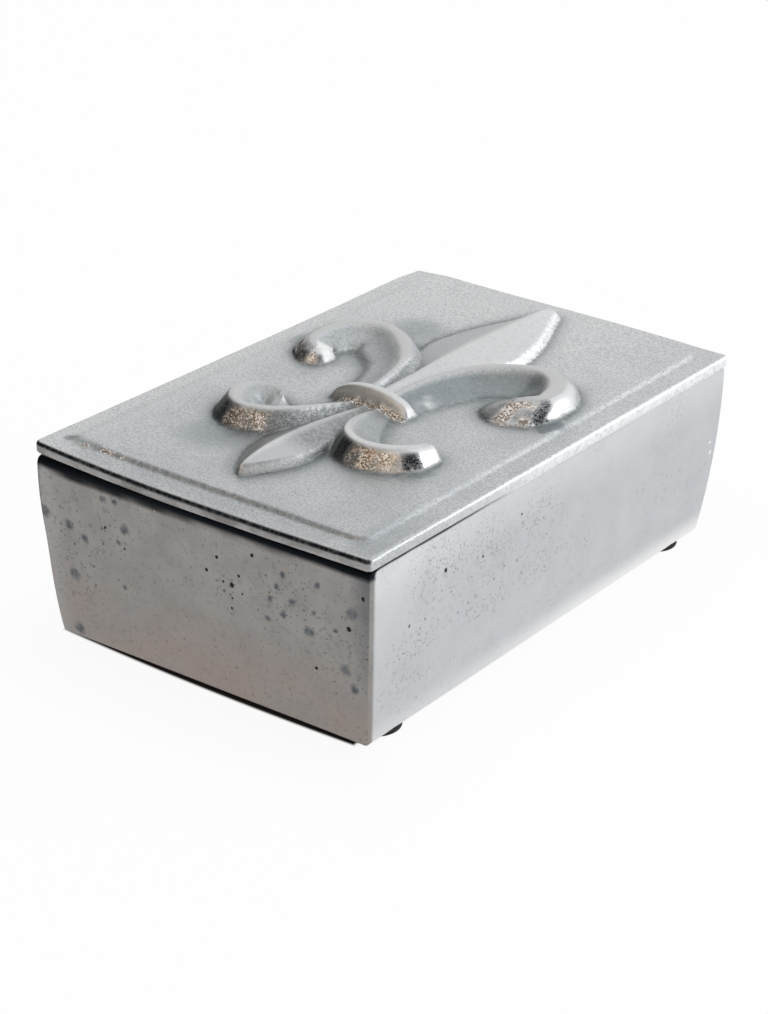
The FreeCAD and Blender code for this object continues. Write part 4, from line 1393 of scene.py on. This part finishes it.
@dataclass(frozen=True)
class Tray:
    """The tray: walls upright at the shoulder and drawn in below, a rounded rim and base, and a hollow."""

    wall: float = 4.0 * MM
    floor: float = 4.0 * MM
    draft: tuple[float, float] = (3.8 * MM, 4.5 * MM)
    rim_round: tuple[float, float] = (0.9 * MM, 2.4 * MM)
    base_round: float = 1.2 * MM
    inner_round: float = 5.0 * MM
    corner: float = 0.7 * MM
    inner_corner: float = 3.0 * MM
    land_gap: float = 0.05 * MM
    waviness: float = 0.18 * MM
    left_bulge: float = 0.55 * MM
    front_bulge: float = 0.9 * MM
    base_lip: float = 0.6 * MM
    base_lip_width: float = 6.0 * MM
    # The painted shadow under the lid: its width on the ends and the right side.
    lid_shadow_black: tuple[float, float] = (3.6 * MM, 2.2 * MM)
    lid_shadow_fade: tuple[float, float] = (5.4 * MM, 3.7 * MM)
    lid_shadow_crown: tuple[float, float] = (0.1 * MM, 0.45 * MM)
    lid_shadow_pinch: float = 1.8 * MM
    side_lid_shadow: tuple[float, float] = (0.5 * MM, 1.2 * MM)
    lid_shadow_ragged: float = 0.35 * MM
    perimeter: Perimeter = Perimeter(90, 140, 6)

    def inset(self, level: Array, axis: int, tall: float, inside: bool) -> Array:
        """How far a wall stands in from the tray's widest, at levels above its underside.

        The wall is one arc, upright at the shoulder. A smaller arc rounds it into the floor, and outside
        another rounds it over the rim.

        Args:
            level: Heights above the underside.
            axis: 0 for the long sides and 1 for the ends.
            tall: The tray's height.
            inside: Whether the wall faces the hollow.

        Returns:
            Insets in metres.
        """
        rim, draft = self.rim_round[axis], self.draft[axis]
        shoulder = tall - rim
        belly = (shoulder ** 2 + draft ** 2) / (2 * draft) - (self.wall if inside else 0)
        bottom, base = (self.floor, self.inner_round) if inside else (0.0, self.base_round)
        drop = np.clip(shoulder - level, 0, None)
        wall = belly - np.sqrt(belly ** 2 - drop ** 2)
        foot = belly - math.sqrt((belly - base) ** 2 - (shoulder - bottom - base) ** 2)
        over = np.clip(base - (level - bottom), 0, base)
        turned = foot - np.sqrt(base ** 2 - over ** 2)
        lift = bottom + base - base * (shoulder - bottom - base) / (belly - base)
        inset = np.where(level < lift, turned, wall)
        if inside:
            return inset + self.wall
        cap = np.clip(level - shoulder, 0, rim)
        return inset + rim - np.sqrt(rim ** 2 - cap ** 2)

    def build(self) -> bpy.types.Object:
        """Makes the tray in the place of its solid: floor, inner walls, rim, outer walls and underside.

        Returns:
            The dressed piece, riding on its body.
        """
        low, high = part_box("box_body")
        tall = high.z - low.z
        widest = ((high.x - low.x) / 2, (high.y - low.y) / 2)
        slab = Slab(self.perimeter)
        ease = 1 - np.cos(np.linspace(0, math.pi / 2, 9))
        inner = np.concatenate([self.floor + self.inner_round * ease,
                                np.linspace(self.floor + self.inner_round, tall, 22)[1:]])
        outer = np.concatenate([tall - self.rim_round[1] * (1 - np.cos(np.linspace(0, math.pi / 2, 12))),
                                np.linspace(tall - self.rim_round[1], self.base_round, 40)[1:],
                                self.base_round * ease[::-1][1:]])
        # The ends, and the right side's first station by the front corner, take the ends' painted shade.
        near_corner = (slab.normals[:, 0] > 0.3) & (slab.places[:, 1] < -0.985)
        ends = ((np.abs(slab.normals[:, 1]) > 0.3) | near_corner).astype(float)
        front = (slab.normals[:, 1] < -0.3).astype(float)
        travel = slab.travel(slab.outline(widest, self.corner))
        from_left = 0.5 + 0.5 * slab.places[:, 0]
        # The painted shadow under the lid: black on the ends, a thin line on the right side.
        ragged = self.lid_shadow_ragged * CastSkin(5 * MM, 33).at(travel, travel * 0)
        pinch = self.lid_shadow_pinch * smoothstep(0.10, 0.0, from_left)
        black, fade = ((1 - from_left) * left + from_left * right + ragged - pinch
                       for left, right in (self.lid_shadow_black, self.lid_shadow_fade))
        right_side = (slab.normals[:, 0] > 0.7) * (1 - 0.8 * smoothstep(-0.55, -0.2, slab.places[:, 1]))
        left = (slab.normals[:, 0] < -0.7).astype(float)
        belly = front * (1 - from_left) * self.front_bulge
        lip = self.base_lip * smoothstep(-0.3, -1.0, slab.places[:, 1]) * (1 - 0.8 * from_left)
        first = True
        for inside, levels in ((True, inner), (False, outer)):
            insets = [self.inset(levels, axis, tall, inside) for axis in (0, 1)]
            for level, inset_x, inset_y in zip(levels, *insets):
                half = (widest[0] - inset_x, widest[1] - inset_y)
                corner = self.inner_corner if inside else self.corner
                height = low.z + level - self.land_gap * (level > tall - self.land_gap)
                under_lid = smoothstep(fade, black, tall - level) * smoothstep(*self.lid_shadow_crown, tall - level)
                thin, thick = (width + 0.4 * ragged for width in self.side_lid_shadow)
                beside_lid = smoothstep(thick, thin, tall - level) * right_side
                bulge = self.left_bulge * left * smoothstep(0.45, 0.85, level / tall)
                bulge = (bulge + belly * smoothstep(0.6, 0.0, level / tall)) * (not inside)
                drop = lip * smoothstep(0.3, 0.0, level / tall) * (not inside)
                marks = {"inside": float(inside), "end": ends, "front": 0.0 if inside else front,
                         "rise": level / tall, "seam": 0.0 if inside else under_lid * ends + beside_lid}
                if first:
                    across, along = slab.plan(half, corner)
                    slab.add(np.stack([across.ravel(), along.ravel()], 1), height,
                             inside=1.0, end=0.0, front=0.0, rise=0.0, seam=0.0)
                    first = False
                swell = 0.5 + 0.5 * CastSkin(34 * MM, 31).at(travel, np.full_like(travel, level))
                slab.add(slab.outline(half, corner, self.waviness * swell - bulge), height - drop, **marks)
        plan = slab.outline((half[0] - self.base_lip_width, half[1] - self.base_lip_width), self.inner_corner)
        slab.add(plan, low.z, **marks)
        piece = slab.build("bowed_tray")
        piece.data.materials.append(TrayFinish().material())
        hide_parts("box_body")
        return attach(piece, "box")


@dataclass(frozen=True)
class RubberPad:
    """A round stick-on pad: a disc with softened edges and a slightly hollow underside."""

    node: str
    edge: float = 0.6 * MM
    hollow: float = 0.25 * MM
    steps: int = 72

    def build(self, finish: bpy.types.Material) -> bpy.types.Object:
        """Turns the pad's profile round its axis: radius and level along the profile, angle round it.

        Args:
            finish: The rubber.

        Returns:
            The dressed piece, riding on its body.
        """
        low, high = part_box(self.node)
        radius, tall = (high.x - low.x) / 2, high.z - low.z
        bend = np.linspace(0, math.pi / 2, 6)
        reach = np.concatenate([radius - self.edge * (1 - np.sin(bend)),
                                radius - self.edge * (1 - np.cos(bend)),
                                radius * np.array([0.82, 0.74, 0.4])])
        level = np.concatenate([tall - self.edge * (1 - np.cos(bend)),
                                self.edge * (1 - np.sin(bend)),
                                self.hollow * np.array([0.0, 0.7, 1.0])])
        angle = np.linspace(0, 2 * math.pi, self.steps, endpoint=False)
        points = np.stack([(low.x + high.x) / 2 + reach[:, None] * np.cos(angle),
                           (low.y + high.y) / 2 + reach[:, None] * np.sin(angle),
                           low.z + np.repeat(level[:, None], self.steps, 1)], -1).reshape(-1, 3)
        number = np.arange(len(points)).reshape(-1, self.steps)
        after = np.roll(number, -1, axis=1)
        strips = np.stack([number[:-1], number[1:], after[1:], after[:-1]], -1).reshape(-1, 4)
        piece = mesh_piece(f"rubber_{self.node}", points,
                           [*strips.tolist(), number[0].tolist(), number[-1][::-1].tolist()])
        piece.data.materials.append(finish)
        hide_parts(self.node)
        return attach(piece, "box")


@dataclass(frozen=True)
class PhotoCamera:
    """The viewpoint: turned and raised about the box, with a long lens and a small shift."""

    turn: float = 36.585
    rise: float = 24.957
    roll: float = 0.834
    distance: float = 751.1 * MM
    aim_level: float = 30 * MM
    lens: float = 90.0
    shift: tuple[float, float] = (-0.01178, -0.01613)

    def build(self) -> None:
        """Places the camera from its turn, rise and roll, and makes it the scene's."""
        turn, rise, roll = (math.radians(angle) for angle in (self.turn, self.rise, self.roll))
        back = Vector((math.sin(turn) * math.cos(rise), -math.cos(turn) * math.cos(rise), math.sin(rise)))
        level = Vector((math.cos(turn), math.sin(turn), 0))
        right = level * math.cos(roll) + back.cross(level) * math.sin(roll)
        data = bpy.data.cameras.new("photo_camera")
        data.lens = self.lens
        data.shift_x, data.shift_y = self.shift
        data.clip_start = 10 * MM
        camera = bpy.data.objects.new("photo_camera", data)
        axes = Matrix((right, back.cross(right), back)).transposed().to_4x4()
        camera.matrix_world = Matrix.Translation(back * self.distance + Vector((0, 0, self.aim_level))) @ axes
        bpy.context.scene.collection.objects.link(camera)
        bpy.context.scene.camera = camera


@dataclass(frozen=True)
class Glow:
    """One bright, warm or dark region of the room: where it lies, how it spreads and its colour."""

    aim: tuple[float, float, float]
    edge: float
    core: float
    colour: Colour
    strength: float = 1.0


@dataclass(frozen=True)
class Studio:
    """A white floor, a room with windows behind and at the right and a dim front left, and one soft lamp."""

    floor_half: float = 6.0
    floor_white: float = 0.92
    near_glow: float = 0.93
    dark_edge: float = 0.7 * MM
    dark_inset: tuple[float, float] = (5.3 * MM, 3.9 * MM)
    dark_shift: float = 3.5 * MM
    dark_bow: float = 0.5
    under: float = 0.05
    far_glow: float = 0.97
    shade_reach: float = 45 * MM
    room: Colour = (0.44, 0.45, 0.46, 1.0)
    lamp_power: float = 7.0
    lamp_size: float = 0.9
    lamp_place: tuple[float, float, float] = (1.15, 0.75, 0.75)
    glows: tuple[Glow, ...] = (
        Glow((0.0, 0.0, 1.0), 0.3, 1.0, (0.75, 0.76, 0.77, 1.0)),
        Glow((-0.54, 0.73, 0.42), 0.45, 0.85, (1.0, 1.0, 1.0, 1.0)),
        Glow((0.80, 0.45, 0.30), 0.20, 0.70, (1.10, 1.13, 1.16, 1.0)),
        Glow((-0.92, -0.36, 0.14), 0.45, 0.80, (0.05, 0.05, 0.05, 1.0)),
        Glow((0.06, -0.67, 0.74), 0.79, 0.93, (1.0, 0.86, 0.69, 1.0), 0.95),
        Glow((0.72, 0.0, 0.69), 0.84, 0.94, (0.04, 0.05, 0.06, 1.0)),
    )

    def floor(self) -> None:
        """A plane with its own white for what looks at it or mirrors it, least beside and under the box,
        where its own colour is painted near black as a painted shadow.
        """
        corners = np.array([(-1, -1, 0), (1, -1, 0), (1, 1, 0), (-1, 1, 0)], float) * self.floor_half
        plane = mesh_piece("pale_floor", corners, [[0, 1, 2, 3]])
        material, tree = new_material("floor_pale")
        path = tree.node("ShaderNodeLightPath")
        seen = Signal(tree, path.outputs["Is Camera Ray"])
        for ray in ("Is Glossy Ray", "Is Transmission Ray"):
            seen = seen.largest(Signal(tree, path.outputs[ray]))
        low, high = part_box("box_body")
        axes = tree.node("ShaderNodeSeparateXYZ", None, {0: tree.place()})
        past = []
        across = Signal(tree, axes.outputs[0]) + self.dark_shift
        for place, reach, inset in zip((across, Signal(tree, axes.outputs[1])), high, self.dark_inset):
            past.append(place.math("ABSOLUTE", place) - (reach - inset))
        beside = past[0].largest(past[1] + across * across * self.dark_bow)
        clear = beside.step(-self.dark_edge, self.dark_edge)
        away = beside.step(self.dark_edge, self.shade_reach)
        share = clear * self.near_glow + away * (self.far_glow - self.near_glow)
        # Painted shadow: the floor's own colour is near black beneath the box, out to just inside its top
        # outline.
        shadow = tree.mix(clear, grey(self.under), grey(self.floor_white))
        diffuse = tree.node("ShaderNodeBsdfDiffuse", None, {"Color": shadow})
        glow = tree.node("ShaderNodeEmission", None, {"Color": grey(1.0), "Strength": 1.0})
        surface = tree.node("ShaderNodeMixShader", None, {
            0: seen * share, 1: diffuse.outputs[0], 2: glow.outputs[0]})
        tree.node("ShaderNodeOutputMaterial", None, {"Surface": surface.outputs[0]})
        plane.data.materials.append(material)

    def room_light(self) -> None:
        """The world: an even grey, with each glow mixed in by how far a direction points at it."""
        world = bpy.data.worlds.new("studio_room")
        world.use_nodes = True
        bpy.context.scene.world = world
        tree = FinishTree(world.node_tree)
        direction = tree.node("ShaderNodeTexCoord").outputs["Generated"]
        colour = self.room
        for glow in self.glows:
            towards = tree.signal("ShaderNodeVectorMath", {"operation": "DOT_PRODUCT"},
                                  {0: direction, 1: Vector(glow.aim).normalized()}, "Value")
            colour = tree.mix(towards.step(glow.edge, glow.core) * glow.strength, colour, glow.colour)
        background = tree.node("ShaderNodeBackground", None, {"Color": colour, "Strength": 1.0})
        tree.node("ShaderNodeOutputWorld", None, {"Surface": background.outputs[0]})

    def lamp(self) -> None:
        """One large soft lamp at the right and rear, turned to the box."""
        data = bpy.data.lights.new("soft_lamp", "AREA")
        data.shape = "SQUARE"
        data.size = self.lamp_size
        data.energy = self.lamp_power
        lamp = bpy.data.objects.new("soft_lamp", data)
        lamp.location = self.lamp_place
        lamp.rotation_euler = Vector(self.lamp_place).to_track_quat("Z", "Y").to_euler()
        bpy.context.scene.collection.objects.link(lamp)

    def build(self) -> None:
        """Sets floor, room and lamp, and plain colour handling."""
        bpy.context.scene.view_settings.view_transform = "Standard"
        self.floor()
        self.room_light()
        self.lamp()


def main() -> None:
    """Builds the box, the studio and the camera in order."""
    logging.basicConfig(level=logging.INFO, format="%(name)s: %(message)s")
    rubber = RubberFinish().material()
    pads = [RubberPad(node).build(rubber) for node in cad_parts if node.startswith("foot_")]
    for piece in (Tray().build(), Lid().build(), *pads):
        LOG.info("%s has %d faces", piece.name, len(piece.data.polygons))
    Studio().build()
    PhotoCamera().build()


if __name__ == "__main__":
    main()
